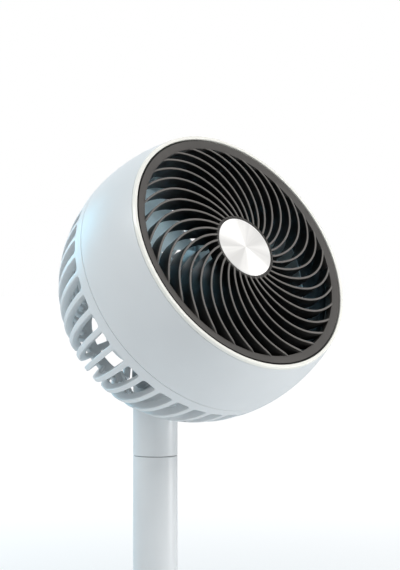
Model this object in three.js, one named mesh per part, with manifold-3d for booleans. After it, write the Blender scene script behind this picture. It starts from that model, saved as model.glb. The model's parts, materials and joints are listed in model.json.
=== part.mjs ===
// A table air circulator fan: a ball-shaped head on a round stem and a weighted base.
// The head tilts on a cross shaft inside its rear cage and swings with the neck; the impeller spins
// on a small motor behind it. Millimetres, +Z up, the fan blows towards -Y.
// The origin is on the floor, on the stem's axis.
import * as THREE from "three";
import { mergeVertices } from "three/addons/utils/BufferGeometryUtils.js";
import Module from "manifold-3d";

const wasm = await Module();
wasm.setup();

// ---------------------------------------------------------------- driving dimensions
const GAP = 0.3; // between pieces that seat on each other
const RUN = 0.5; // between pieces that turn or slide past each other

// Stance
const PIVOT_HEIGHT = 250; // the tilt shaft above the floor
const REST_TILT = 28; // degrees that the head looks up at rest
const TILT_DOWN = 28; // degrees of tilt below the rest pose
const TILT_UP = 22; // degrees of tilt above the rest pose
const PIVOT_BACK = 154.5; // the tilt shaft behind the grille ring's face
const PIVOT_DROP = 46; // the tilt shaft below the head's axis

// Head shells. Z runs forward along the head's axis, from 0 on the grille ring's face.
const HEAD_RADIUS = 125; // the widest part
const WIDEST_BACK = 57; // where that is, behind the ring's face
const FRONT_LENGTH = 148; // half length of the ellipse in front of the widest part
const REAR_LENGTH = 138; // and behind it
const SHELL_WALL = 2.5;
const SHELL_FRONT = 2.6; // the front shell's edge, behind the ring's face
const SEAM_BACK = 66.7; // the line between the front and the rear shell
const SEAM_WIDTH = 0.5;
const BAND_WIDTH = 11.4; // plain band between the seam and the vents

// Rear cage
const RIB_COUNT = 42;
const RIB_WIDTH = 5.4;
const RIB_DEPTH = 8;
const CAGE_BACK = 175; // its flat back, behind the ring's face
const CAGE_EDGE_FILLET = 30; // turns the ball into the flat back
const CAGE_TURN_RADIUS = 75; // where that fillet starts, from the head's axis
const BACK_RING_OUTER = 55;
const BACK_RING_INNER = 43;
const BACK_HUB_RADIUS = 26;
const BACK_THICKNESS = 5;
const SPOKE_COUNT = 7;
const SPOKE_WIDTH = 6;
const NECK_SLOT_CLEARANCE = 2.5; // each side of the neck
const SLOT_CHEEK = 4; // wall at each side of the neck slot
const CHEEK_REACH = 24; // the cheeks run this far forwards past the slot's end

// Grille
const TRIM_WIDTH = 3.85; // the rim trim's face, between the front shell's edge and the ring
const RING_WIDTH = 8.7;
const RING_DEPTH = 10;
const RING_GROOVE = 1; // width of the shadow line round the ring's outer edge
const RING_GROOVE_DEPTH = 1.5;
const FIN_COUNT = 33;
const FIN_THICKNESS = 2;
const FIN_BACK = 14; // the fins' rear edge, behind the ring's face
const FIN_LIFT = 3.5; // the rear edge rises this much at the ring, to pass the duct's lip
const FIN_CROWN = 0.4; // the flat front edge lies this far below the crown of the rounded one
const FIN_START = 91.6; // degrees of the first fin at the hub, from +X
const DOME = 5.1; // the hub stands this far in front of the ring
// A fin's line: share of its way from hub to ring, degrees that it has turned, front edge's share of DOME.
const FIN_LINE = [
  [0, 0, 1],
  [0.23, 11.35, 1],
  [0.416, 19.83, 0.94],
  [0.602, 28.36, 0.81],
  [0.788, 38.44, 0.67],
  [1, 53, -0.2],
];
const HUB_RADIUS = 31;
const HUB_DEPTH = 14;
const BADGE_RADIUS = 28.7;
const BADGE_THICKNESS = 1.6;
const TRIM_FRONT = 0.5; // the rim trim stands this far in front of the ring

// Duct and impeller
const DUCT_STEP = 1.4; // the duct's bore is this much inside the grille ring's
const DUCT_WALL = 2;
const DUCT_FRONT = 12; // behind the ring's face
const FLANGE_THICKNESS = 2;
const TIP_CLEARANCE = 3.5;
const BLADE_COUNT = 7;
const BLADE_THICKNESS = 2.4;
const BLADE_START = 26; // degrees of the first blade's middle at the hub, from +X
const BLADE_CHORD = 62; // degrees that a blade covers at its root
const BLADE_SPREAD = 12; // degrees more at its tip
const BLADE_FILL = 0.76; // share of the impeller's depth that a blade takes at its root
const BLADE_FLATTENING = 0.18; // share that it loses towards its tip
const BLADE_SWEEP = 14; // degrees that the tip trails the root
const BLADE_CAMBER = 4;
const IMPELLER_FRONT = 20;
const IMPELLER_BACK = 56;
const IMPELLER_HUB = 33;
const HUB_WALL = 2.5;

// Motor
const MOTOR_FRONT = 62;
const MOTOR_BACK = 108;
const MOTOR_RADIUS = 34;
const CAN_WALL = 2;
const SHAFT_RADIUS = 4;
const BEARING_RADIUS = 11;
const BEARING_WIDTH = 7;
const STATOR_INNER = 17;
const STATOR_LENGTH = 22;
const SHIELD_THICKNESS = 4;
const ARM_COUNT = 6;
const ARM_WIDTH = 4;
const SPIDER_RING_INSET = 7; // its edge, inside the ball's surface at the seam
const SPIDER_RING_THICKNESS = 3.5;

// Screws
const SCREW_RADIUS = 1.8;
const SCREW_HEAD_RADIUS = 3.4;
const SCREW_HEAD_HEIGHT = 2.2;
const SHELL_SCREW_COUNT = 4;
const SHELL_SCREW_INSET = 14.2; // the screws' axes, inside the ball's surface at the seam
const POST_RADIUS = 4.4;
const POST_LENGTH = 14;

// Tilt joint
const EAR_THICKNESS = 3;
const EAR_RADIUS = 13;
const TONGUE_HALF = 14.3; // half width of the neck's knuckle between the ears
const TILT_SHAFT_RADIUS = 4;
const BUSH_WALL = 1.6;
const MODULE = 1.25;
const SECTOR_TEETH = 40; // on the full circle
const PINION_TEETH = 12;
const GEAR_WIDTH = 4;
const PINION_ANGLE = 45; // from straight up towards the front, seen in the head
const GEAR_BACKLASH = 0.35;
const STEPPER_RADIUS = 12;
const STEPPER_LENGTH = 18;
const BRACKET_THICKNESS = 3;
const BRACKET_HALF = 20; // half its height on the motor
const BRACKET_SCREW_SPREAD = 9; // each screw from the head's axis
const BRACKET_SCREW_DEPTH = 3; // into the motor's rear shield
const PINION_SHAFT_RADIUS = 2.5;

// Neck, stem and swing joint
const STEM_RADIUS = 20.5;
const STEM_WALL = 3;
const NECK_WALL = 4.5;
const SWING_SEAM = 175; // height of the joint between stem and neck
const SWING_BEARING_DROP = 2; // its top, below the seam
const SWING_BEARING_WIDTH = 8;
const SWING_PLUG_RISE = 20; // the neck hub's plug reaches this far above the seam
const SWING_STEPPER_RADIUS = 14;
const SWING_STEPPER_LENGTH = 20;
const KNUCKLE_DROP = 2; // the neck starts to round this far below the tilt shaft
const KNUCKLE_TOP = 16; // and ends this far above it
const RECESS_DROP = 18; // the ears' recesses reach this far below the tilt shaft

// Base
const BASE_RADIUS = 115;
const BASE_EDGE_HEIGHT = 16;
const BASE_TOP_HEIGHT = 32; // where the cone meets the collar
const BASE_WALL = 3;
const BASE_CONE_START = 102; // from the axis, where the edge fillet ends
const PAD_THICKNESS = 2;
const PAD_RADIUS = 98;
const PLATE_THICKNESS = 4;
const BALLAST_INNER = 46;
const BALLAST_OUTER = 86;
const BALLAST_THICKNESS = 10;
const COLLAR_RADIUS = 26;
const COLLAR_HEIGHT = 9;
const SOCKET_WALL = 4;
const SOCKET_FLANGE = 40;
const BASE_BOSS_CIRCLE = 94;
const BASE_BOSS_RADIUS = 5;
const BASE_SCREW_LENGTH = 9;

// Controls
const PANEL_LENGTH = 84;
const PANEL_WIDTH = 24;
const PANEL_THICKNESS = 2.4;
const PANEL_PLACE = 74; // in front of the stem's axis
const BUTTON_RADIUS = 6;
const BUTTON_PITCH = 17;
const BUTTON_PROUD = 1.2;
const BUTTON_TRAVEL = 1;
const BOARD_DROP = 7; // the board's top below the panel's top
const BOARD_THICKNESS = 1.6;
const INLET_WIDTH = 12;
const INLET_HEIGHT = 8;
const INLET_DEPTH = 14;
const INLET_BORE = 3;

// Facets round each kind of piece
const SHELL_SIDES = 48;
const RING_SIDES = 36;
const MEDIUM_SIDES = 20;
const INNER_SIDES = 12;
const SMALL_SIDES = 10;
const SCREW_SIDES = 6;

const rad = THREE.MathUtils.degToRad;

// ---------------------------------------------------------------- materials
const finish = (hex, roughness, metalness = 0) =>
  new THREE.MeshStandardMaterial({ color: hex, roughness, metalness });
const shellWhite = finish(0xdfe4e8, 0.38);
const trimWhite = finish(0xf6f3ea, 0.22);
const ductBlue = finish(0x2a3840, 0.45);
const grilleGrey = finish(0x4f4a47, 0.45);
const smokedBlue = finish(0x10181f, 0.15);
const brushedMetal = finish(0xe6e3dc, 0.3, 0.9);
const steel = finish(0xa7abb0, 0.35, 0.9);
const zincSteel = finish(0x8c9196, 0.45, 0.8);
const copper = finish(0xb06a3a, 0.4, 0.8);
const brassTone = finish(0xb79a55, 0.4, 0.8);
const blackPlastic = finish(0x1b1c1e, 0.4);
const innerGrey = finish(0x8d9297, 0.5);
const boardGreen = finish(0x1e5a3c, 0.5);
const castIron = finish(0x3c3e40, 0.7, 0.4);
const rubber = finish(0x202122, 0.9);
const panelBlack = finish(0x121315, 0.12);
const keyWhite = finish(0xe9ecee, 0.3);

// ---------------------------------------------------------------- solids
// A closed geometry as a manifold solid, turned outwards if its faces point in.
function solid(geometry) {
  const bare = new THREE.BufferGeometry();
  const flat = geometry.index ? geometry.toNonIndexed() : geometry;
  bare.setAttribute("position", flat.getAttribute("position"));
  const merged = mergeVertices(bare, 1e-4);
  const all = merged.index.array;
  const kept = [];
  for (let i = 0; i < all.length; i += 3) {
    const [a, b, c] = [all[i], all[i + 1], all[i + 2]];
    if (a !== b && b !== c && c !== a) kept.push(a, b, c);
  }
  const vertProperties = merged.getAttribute("position").array;
  const build = (triangles) =>
    new wasm.Manifold(
      new wasm.Mesh({ numProp: 3, vertProperties, triVerts: new Uint32Array(triangles) }),
    );
  const made = build(kept);
  if (made.volume() > 0) return made;
  const turned = [];
  for (let i = 0; i < kept.length; i += 3) turned.push(kept[i], kept[i + 2], kept[i + 1]);
  return build(turned);
}

// A profile of [radius, height] points turned round +Z. It closes on itself, or starts and ends on the axis.
function turned(profile, sides, { at = [0, 0, 0] } = {}) {
  const onAxis = profile[0][0] === 0 && profile.at(-1)[0] === 0;
  const loop = onAxis ? profile : [...profile, profile[0]];
  const geometry = new THREE.LatheGeometry(
    loop.map(([r, z]) => new THREE.Vector2(r, z)),
    sides,
  );
  return solid(geometry.rotateX(Math.PI / 2).translate(...at));
}

// A plain tube or disc along +Z.
function tube(inner, outer, low, high, sides, at = [0, 0, 0]) {
  const profile = [
    [inner, low],
    [outer, low],
    [outer, high],
    [inner, high],
  ];
  return turned(profile, sides, { at });
}

// The same along +X, with its axis through [y, z].
function tubeAlongX(inner, outer, low, high, sides, [y, z] = [0, 0]) {
  const profile = [
    [inner, low],
    [outer, low],
    [outer, high],
    [inner, high],
  ];
  if (inner > 0) profile.push(profile[0]);
  const geometry = new THREE.LatheGeometry(
    profile.map(([r, h]) => new THREE.Vector2(r, h)),
    sides,
  );
  return solid(geometry.rotateZ(-Math.PI / 2).translate(0, y, z));
}

// A flat outline of [x, y] points pushed up along +Z.
function plate(outline, low, high, matrix = new THREE.Matrix4()) {
  const shape = new THREE.Shape(outline.map(([x, y]) => new THREE.Vector2(x, y)));
  const geometry = new THREE.ExtrudeGeometry(shape, { depth: high - low, bevelEnabled: false });
  return solid(geometry.translate(0, 0, low).applyMatrix4(matrix));
}

// A block between two corners.
function block([x0, y0, z0], [x1, y1, z1]) {
  const geometry = new THREE.BoxGeometry(x1 - x0, y1 - y0, z1 - z0);
  return solid(geometry.translate((x0 + x1) / 2, (y0 + y1) / 2, (z0 + z1) / 2));
}

// A skin over loops of points that have the same even count. Each loop runs there and back along its
// section, so both sides split their facets alike and a strip across the section closes each end.
function loft(loops) {
  const positions = [];
  const push = (...points) => points.forEach((p) => positions.push(...p));
  const count = loops[0].length;
  for (let i = 0; i + 1 < loops.length; i++)
    for (let j = 0; j < count; j++) {
      const k = (j + 1) % count;
      const [near, far] = [loops[i], loops[i + 1]];
      if (j < count / 2) push(near[j], near[k], far[k], near[j], far[k], far[j]);
      else push(near[j], near[k], far[j], near[k], far[k], far[j]);
    }
  const [first, last] = [loops[0], loops.at(-1)];
  for (let j = 0; j + 1 < count / 2; j++) {
    const [a, b, c, d] = [j, j + 1, count - 2 - j, count - 1 - j];
    push(first[a], first[c], first[b], first[a], first[d], first[c]);
    push(last[a], last[b], last[c], last[a], last[c], last[d]);
  }
  const geometry = new THREE.BufferGeometry();
  geometry.setAttribute("position", new THREE.Float32BufferAttribute(positions, 3));
  return geometry;
}

const aroundZ = (degrees) => new THREE.Matrix4().makeRotationZ(rad(degrees));
const onCircle = (radius, degrees) => [radius * Math.cos(rad(degrees)), radius * Math.sin(rad(degrees))];
const steps = (count) => Array.from({ length: count }, (_, i) => i);
const joined = (solids) => solids.reduce((sum, next) => sum.add(next));

// Stands an outline of [radius, height] points up, at an angle round +Z.
const standing = (degrees) =>
  aroundZ(degrees).multiply(
    new THREE.Matrix4().makeBasis(
      new THREE.Vector3(1, 0, 0),
      new THREE.Vector3(0, 0, 1),
      new THREE.Vector3(0, -1, 0),
    ),
  );

// A solid as a named mesh in a group.
function place(group, name, body, material) {
  const { vertProperties, triVerts } = body.getMesh();
  const geometry = new THREE.BufferGeometry();
  geometry.setAttribute("position", new THREE.BufferAttribute(vertProperties, 3));
  geometry.setIndex(new THREE.BufferAttribute(triVerts, 1));
  geometry.computeVertexNormals();
  const mesh = new THREE.Mesh(geometry, material);
  mesh.name = name;
  group.add(mesh);
}

// A screw whose head's underside is at height, its shank pointing along direction (1 up, -1 down).
function screw(length, height, direction, at) {
  const shank = height + direction * length;
  const top = height - direction * SCREW_HEAD_HEIGHT;
  const profile = [
    [0, shank],
    [SCREW_RADIUS, shank],
    [SCREW_RADIUS, height],
    [SCREW_HEAD_RADIUS, height],
    [SCREW_HEAD_RADIUS, top],
    [0, top],
  ];
  return turned(profile, SCREW_SIDES, { at: [...at, 0] });
}

// ---------------------------------------------------------------- head profile
// The ball's outer radius at a distance behind the grille ring's face.
function ballRadius(back) {
  const length = back < WIDEST_BACK ? FRONT_LENGTH : REAR_LENGTH;
  return HEAD_RADIUS * Math.sqrt(1 - ((back - WIDEST_BACK) / length) ** 2);
}

const ringOuter = ballRadius(SHELL_FRONT) - TRIM_WIDTH - GAP;
const ringInner = ringOuter - RING_WIDTH;
const ductInner = ringInner - DUCT_STEP;
const spiderRingOuter = ballRadius(SEAM_BACK) - SPIDER_RING_INSET;
const shellScrewCircle = ballRadius(SEAM_BACK) - SHELL_SCREW_INSET;

// Points of the ball's outer line from one distance back to another, moved inwards by an offset.
function ballLine(from, to, count, inward = 0) {
  return steps(count + 1).map((i) => {
    const back = from + ((to - from) * i) / count;
    return [ballRadius(back) - inward, -back];
  });
}

// The cage's outer line from the band to the flat back, as [radius, z, outward normal's r, z].
function cageLine(stations) {
  const turnBack = WIDEST_BACK + REAR_LENGTH * Math.sqrt(1 - (CAGE_TURN_RADIUS / HEAD_RADIUS) ** 2);
  const slope = (REAR_LENGTH * CAGE_TURN_RADIUS) / HEAD_RADIUS ** 2;
  const lean = Math.atan2(slope, Math.sqrt(1 - (CAGE_TURN_RADIUS / HEAD_RADIUS) ** 2));
  const start = SEAM_BACK + BAND_WIDTH - 2;
  const line = steps(stations).map((i) => {
    const back = start + (turnBack - start) * (i / stations) ** 0.8;
    const r = ballRadius(back);
    const normal = new THREE.Vector2(r / HEAD_RADIUS ** 2, -(back - WIDEST_BACK) / REAR_LENGTH ** 2);
    normal.normalize();
    return [r, -back, normal.x, normal.y];
  });
  const centre = [
    CAGE_TURN_RADIUS - CAGE_EDGE_FILLET * Math.sin(lean),
    -CAGE_BACK + CAGE_EDGE_FILLET,
  ];
  for (const share of [1, 0]) {
    const [nr, nz] = [Math.sin(lean * share), -Math.cos(lean * share)];
    line.push([centre[0] + CAGE_EDGE_FILLET * nr, centre[1] + CAGE_EDGE_FILLET * nz, nr, nz]);
  }
  return line;
}

// ---------------------------------------------------------------- head pieces
// One fin whose first corner is at an angle in degrees; its rear edge rises towards the ring.
function fin(start) {
  const inner = HUB_RADIUS - HUB_WALL / 2;
  const outer = ringInner + 1.5;
  const place = ([share, turn]) => {
    const r = inner + (outer - inner) * share;
    return new THREE.Vector2(...onCircle(r, start + turn));
  };
  const last = FIN_LINE.length - 1;
  return loft(
    FIN_LINE.map((station, i) => {
      const centre = place(station);
      const along = place(FIN_LINE[Math.min(i + 1, last)]).sub(place(FIN_LINE[Math.max(i - 1, 0)]));
      const side = new THREE.Vector2(-along.y, along.x).setLength(FIN_THICKNESS / 2);
      const front = DOME * station[2] - FIN_CROWN;
      const back = -FIN_BACK + (i === last ? FIN_LIFT : 0);
      return [
        [centre.x + side.x, centre.y + side.y, front],
        [centre.x - side.x, centre.y - side.y, front],
        [centre.x - side.x, centre.y - side.y, back],
        [centre.x + side.x, centre.y + side.y, back],
      ];
    }),
  );
}

function frontGrille() {
  const ring = turned(
    [
      [ringInner, -1],
      [ringOuter - RING_GROOVE, 0],
      [ringOuter - RING_GROOVE, -RING_GROOVE_DEPTH],
      [ringOuter, -RING_GROOVE_DEPTH],
      [ringOuter, -RING_DEPTH],
      [ringInner, -RING_DEPTH],
    ],
    2 * FIN_COUNT,
  );
  const rim = HUB_RADIUS - BADGE_RADIUS - GAP;
  const floor = DOME - BADGE_THICKNESS - GAP;
  const hub = turned(
    [
      [0, floor],
      [HUB_RADIUS - rim, floor],
      [HUB_RADIUS - rim, DOME],
      [HUB_RADIUS, DOME - 0.6],
      [HUB_RADIUS, DOME - HUB_DEPTH],
      [HUB_RADIUS - HUB_WALL, DOME - HUB_DEPTH],
      [HUB_RADIUS - HUB_WALL, floor - HUB_WALL],
      [0, floor - HUB_WALL],
    ],
    FIN_COUNT,
  );
  const fins = steps(FIN_COUNT).map((i) => solid(fin(FIN_START + (360 * i) / FIN_COUNT)));
  return joined([ring, hub, ...fins]);
}

function hubBadge() {
  const low = DOME - BADGE_THICKNESS;
  return turned(
    [
      [0, low],
      [BADGE_RADIUS, low],
      [BADGE_RADIUS, DOME - 0.5],
      [BADGE_RADIUS - 0.8, DOME],
      [0, DOME],
    ],
    MEDIUM_SIDES,
  );
}

function rimTrim() {
  const inner = ringOuter + GAP;
  const outer = ballRadius(SHELL_FRONT);
  const spigot = inner + 1;
  return turned(
    [
      [inner, TRIM_FRONT],
      [outer - 1, TRIM_FRONT],
      [outer, -SHELL_FRONT + GAP],
      [spigot, -SHELL_FRONT + GAP],
      [spigot, -RING_DEPTH],
      [inner, -RING_DEPTH],
    ],
    SHELL_SIDES,
  );
}

function frontShell() {
  const bore = ringOuter + GAP + 1 + GAP; // takes the trim's spigot
  const outside = ballLine(SHELL_FRONT, SEAM_BACK, 4);
  const inside = ballLine(SEAM_BACK, RING_DEPTH + 6, 2, SHELL_WALL);
  const lip = [
    [bore, -RING_DEPTH - 3],
    [bore, -SHELL_FRONT],
  ];
  return turned([...outside, ...inside, ...lip], SHELL_SIDES);
}

// Where the four long screws of the head stand, in degrees from +X.
const shellScrewAngles = steps(SHELL_SCREW_COUNT).map((i) => 45 + (360 * i) / SHELL_SCREW_COUNT);
const ductFlangeBack = SEAM_BACK - 1;
const spiderFront = ductFlangeBack + GAP;
const spiderBack = spiderFront + SPIDER_RING_THICKNESS;
const postFront = spiderBack + GAP;
const postBack = postFront + POST_LENGTH;

const screwHoles = (low, high) =>
  shellScrewAngles.map((a) =>
    tube(0, SCREW_RADIUS + GAP, low, high, SCREW_SIDES, [...onCircle(shellScrewCircle, a), 0]),
  );

function airDuct() {
  const outer = ductInner + DUCT_WALL;
  const seat = ballRadius(ductFlangeBack - FLANGE_THICKNESS) - SHELL_WALL - 2 * GAP;
  const flange = ductFlangeBack - FLANGE_THICKNESS;
  const lip = ringOuter - 1;
  const body = turned(
    [
      [ductInner, -DUCT_FRONT],
      [lip, -DUCT_FRONT],
      [lip, -DUCT_FRONT - FLANGE_THICKNESS],
      [outer, -DUCT_FRONT - FLANGE_THICKNESS],
      [outer, -flange],
      [seat, -flange],
      [seat, -ductFlangeBack],
      [ductInner + 1, -ductFlangeBack],
      [ductInner, -flange + 2],
    ],
    RING_SIDES,
  );
  return screwHoles(-ductFlangeBack - 1, -flange + 1).reduce((sum, hole) => sum.subtract(hole), body);
}

function impeller() {
  const tip = ductInner - TIP_CLEARANCE;
  const root = IMPELLER_HUB - HUB_WALL / 2;
  const depth = IMPELLER_BACK - IMPELLER_FRONT;
  const stations = 4;
  const chordwise = [0, 0.25, 0.5, 0.75, 1];
  const blade = loft(
    steps(stations + 1).map((i) => {
      const share = i / stations;
      const r = root + (tip - root) * share;
      const span = BLADE_CHORD + BLADE_SPREAD * share;
      const reach = depth * (BLADE_FILL - BLADE_FLATTENING * share);
      const middle = -(IMPELLER_FRONT + IMPELLER_BACK) / 2;
      const edge = (t, side) => {
        const bow = 1 - (2 * t - 1) ** 2;
        const thick = (BLADE_THICKNESS / 2) * (0.5 + 0.5 * bow) * side;
        const z = middle + reach * (t - 0.5) + BLADE_CAMBER * bow + thick;
        return [...onCircle(r, BLADE_SWEEP * share + span * (t - 0.5)), z];
      };
      return [...chordwise.map((t) => edge(t, 1)), ...chordwise.toReversed().map((t) => edge(t, -1))];
    }),
  );
  const boss = SHAFT_RADIUS + 3;
  const bore = SHAFT_RADIUS + GAP;
  const hub = turned(
    [
      [bore, -IMPELLER_FRONT],
      [IMPELLER_HUB - 4, -IMPELLER_FRONT],
      [IMPELLER_HUB, -IMPELLER_FRONT - 4],
      [IMPELLER_HUB, -IMPELLER_BACK],
      [IMPELLER_HUB - HUB_WALL, -IMPELLER_BACK],
      [IMPELLER_HUB - HUB_WALL, -IMPELLER_FRONT - 4 - HUB_WALL],
      [boss, -IMPELLER_FRONT - 4 - HUB_WALL],
      [boss, -IMPELLER_BACK + 6],
      [bore, -IMPELLER_BACK + 6],
    ],
    MEDIUM_SIDES,
  );
  const blades = steps(BLADE_COUNT).map((i) =>
    solid(blade.clone().applyMatrix4(aroundZ(BLADE_START + (360 * i) / BLADE_COUNT))),
  );
  return joined([hub, ...blades]);
}

const shaftFront = IMPELLER_FRONT - 5;
const motorCavityFront = MOTOR_FRONT + SHIELD_THICKNESS;
const shieldFront = MOTOR_BACK - SHIELD_THICKNESS;

function impellerNut() {
  const high = -IMPELLER_FRONT + GAP;
  return turned(
    [
      [SHAFT_RADIUS + GAP, high],
      [9, high],
      [9, high + 3],
      [5, high + 7],
      [0, high + 7],
      [0, -shaftFront + GAP],
      [SHAFT_RADIUS + GAP, -shaftFront + GAP],
    ].reverse(),
    SMALL_SIDES,
  );
}

function motorShaft() {
  return tube(0, SHAFT_RADIUS, -shieldFront - 1 + GAP, -shaftFront, SMALL_SIDES);
}

// The motor's front shield, six arms and the ring that clamps between duct and rear shell.
function motorSpider() {
  const collar = BEARING_RADIUS + GAP;
  const shield = turned(
    [
      [SHAFT_RADIUS + RUN, -MOTOR_FRONT + 2],
      [MOTOR_RADIUS - 4, -MOTOR_FRONT + 2],
      [MOTOR_RADIUS, -MOTOR_FRONT - 1],
      [MOTOR_RADIUS, -motorCavityFront],
      [collar + 3, -motorCavityFront],
      [collar + 3, -motorCavityFront - BEARING_WIDTH + 2],
      [collar, -motorCavityFront - BEARING_WIDTH + 2],
      [collar, -motorCavityFront + 1],
      [SHAFT_RADIUS + RUN, -motorCavityFront + 1],
    ],
    MEDIUM_SIDES,
  );
  const spiderInner = ductInner + DUCT_WALL;
  const ring = tube(spiderInner, spiderRingOuter, -spiderBack, -spiderFront, RING_SIDES);
  const armOutline = [
    [MOTOR_RADIUS - 2, -MOTOR_FRONT - 1.5],
    [ductInner - 1, -spiderFront - 0.5],
    [spiderInner + 2, -spiderFront - 0.5],
    [spiderInner + 2, -spiderBack + 0.5],
    [MOTOR_RADIUS + RUN, -spiderBack + 0.5],
    [MOTOR_RADIUS + RUN, -motorCavityFront + 0.5],
    [MOTOR_RADIUS - 2, -motorCavityFront + 0.5],
  ];
  const arms = steps(ARM_COUNT).map((i) =>
    plate(armOutline, -ARM_WIDTH / 2, ARM_WIDTH / 2, standing(30 + (360 * i) / ARM_COUNT)),
  );
  const body = joined([shield, ring, ...arms]);
  return screwHoles(-spiderBack - 1, -spiderFront + 1).reduce((sum, hole) => sum.subtract(hole), body);
}

function motorCan() {
  return tube(
    MOTOR_RADIUS - CAN_WALL,
    MOTOR_RADIUS,
    -shieldFront + GAP,
    -motorCavityFront - GAP,
    MEDIUM_SIDES,
  );
}

function motorRearShield() {
  const collar = BEARING_RADIUS + GAP;
  const body = turned(
    [
      [0, -MOTOR_BACK],
      [MOTOR_RADIUS - 2, -MOTOR_BACK],
      [MOTOR_RADIUS, -MOTOR_BACK + 2],
      [MOTOR_RADIUS, -shieldFront],
      [collar + 3, -shieldFront],
      [collar + 3, -shieldFront + BEARING_WIDTH - 2],
      [collar, -shieldFront + BEARING_WIDTH - 2],
      [collar, -shieldFront - 1],
      [0, -shieldFront - 1],
    ],
    MEDIUM_SIDES,
  );
  return bracketScrewHoles(-MOTOR_BACK - 1, -MOTOR_BACK + BRACKET_SCREW_DEPTH).reduce(
    (sum, hole) => sum.subtract(hole),
    body,
  );
}

const statorMiddle = -(motorCavityFront + shieldFront) / 2;

function statorCore() {
  const outer = MOTOR_RADIUS - CAN_WALL - GAP;
  return tube(
    STATOR_INNER,
    outer,
    statorMiddle - STATOR_LENGTH / 2,
    statorMiddle + STATOR_LENGTH / 2,
    MEDIUM_SIDES,
  );
}

// One end of the winding, a smooth ring of wound wire.
function windingHead(side) {
  const inner = STATOR_INNER + 2;
  const outer = MOTOR_RADIUS - CAN_WALL - 4;
  const near = statorMiddle + side * (STATOR_LENGTH / 2 + GAP);
  const far = near + side * 4;
  const profile = [
    [inner, near],
    [outer, near],
    [outer, far - side],
    [outer - 1.5, far],
    [inner + 1.5, far],
    [inner, far - side],
  ];
  return turned(side > 0 ? profile : profile.reverse(), INNER_SIDES);
}

function rotorCore() {
  return tube(
    SHAFT_RADIUS + GAP,
    STATOR_INNER - RUN,
    statorMiddle - STATOR_LENGTH / 2,
    statorMiddle + STATOR_LENGTH / 2,
    MEDIUM_SIDES,
  );
}

function bearing(low) {
  return tube(SHAFT_RADIUS + GAP, BEARING_RADIUS, low, low + BEARING_WIDTH, INNER_SIDES);
}

// ---------------------------------------------------------------- rear cage
const neckSlotHalf = STEM_RADIUS + NECK_SLOT_CLEARANCE;
// The slot starts where the neck's front would stand with the head level, and ends short of the hub.
const neckSlotFront = PIVOT_BACK - neckSlotHalf;
const neckSlotTop = BACK_HUB_RADIUS + 6;

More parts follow.
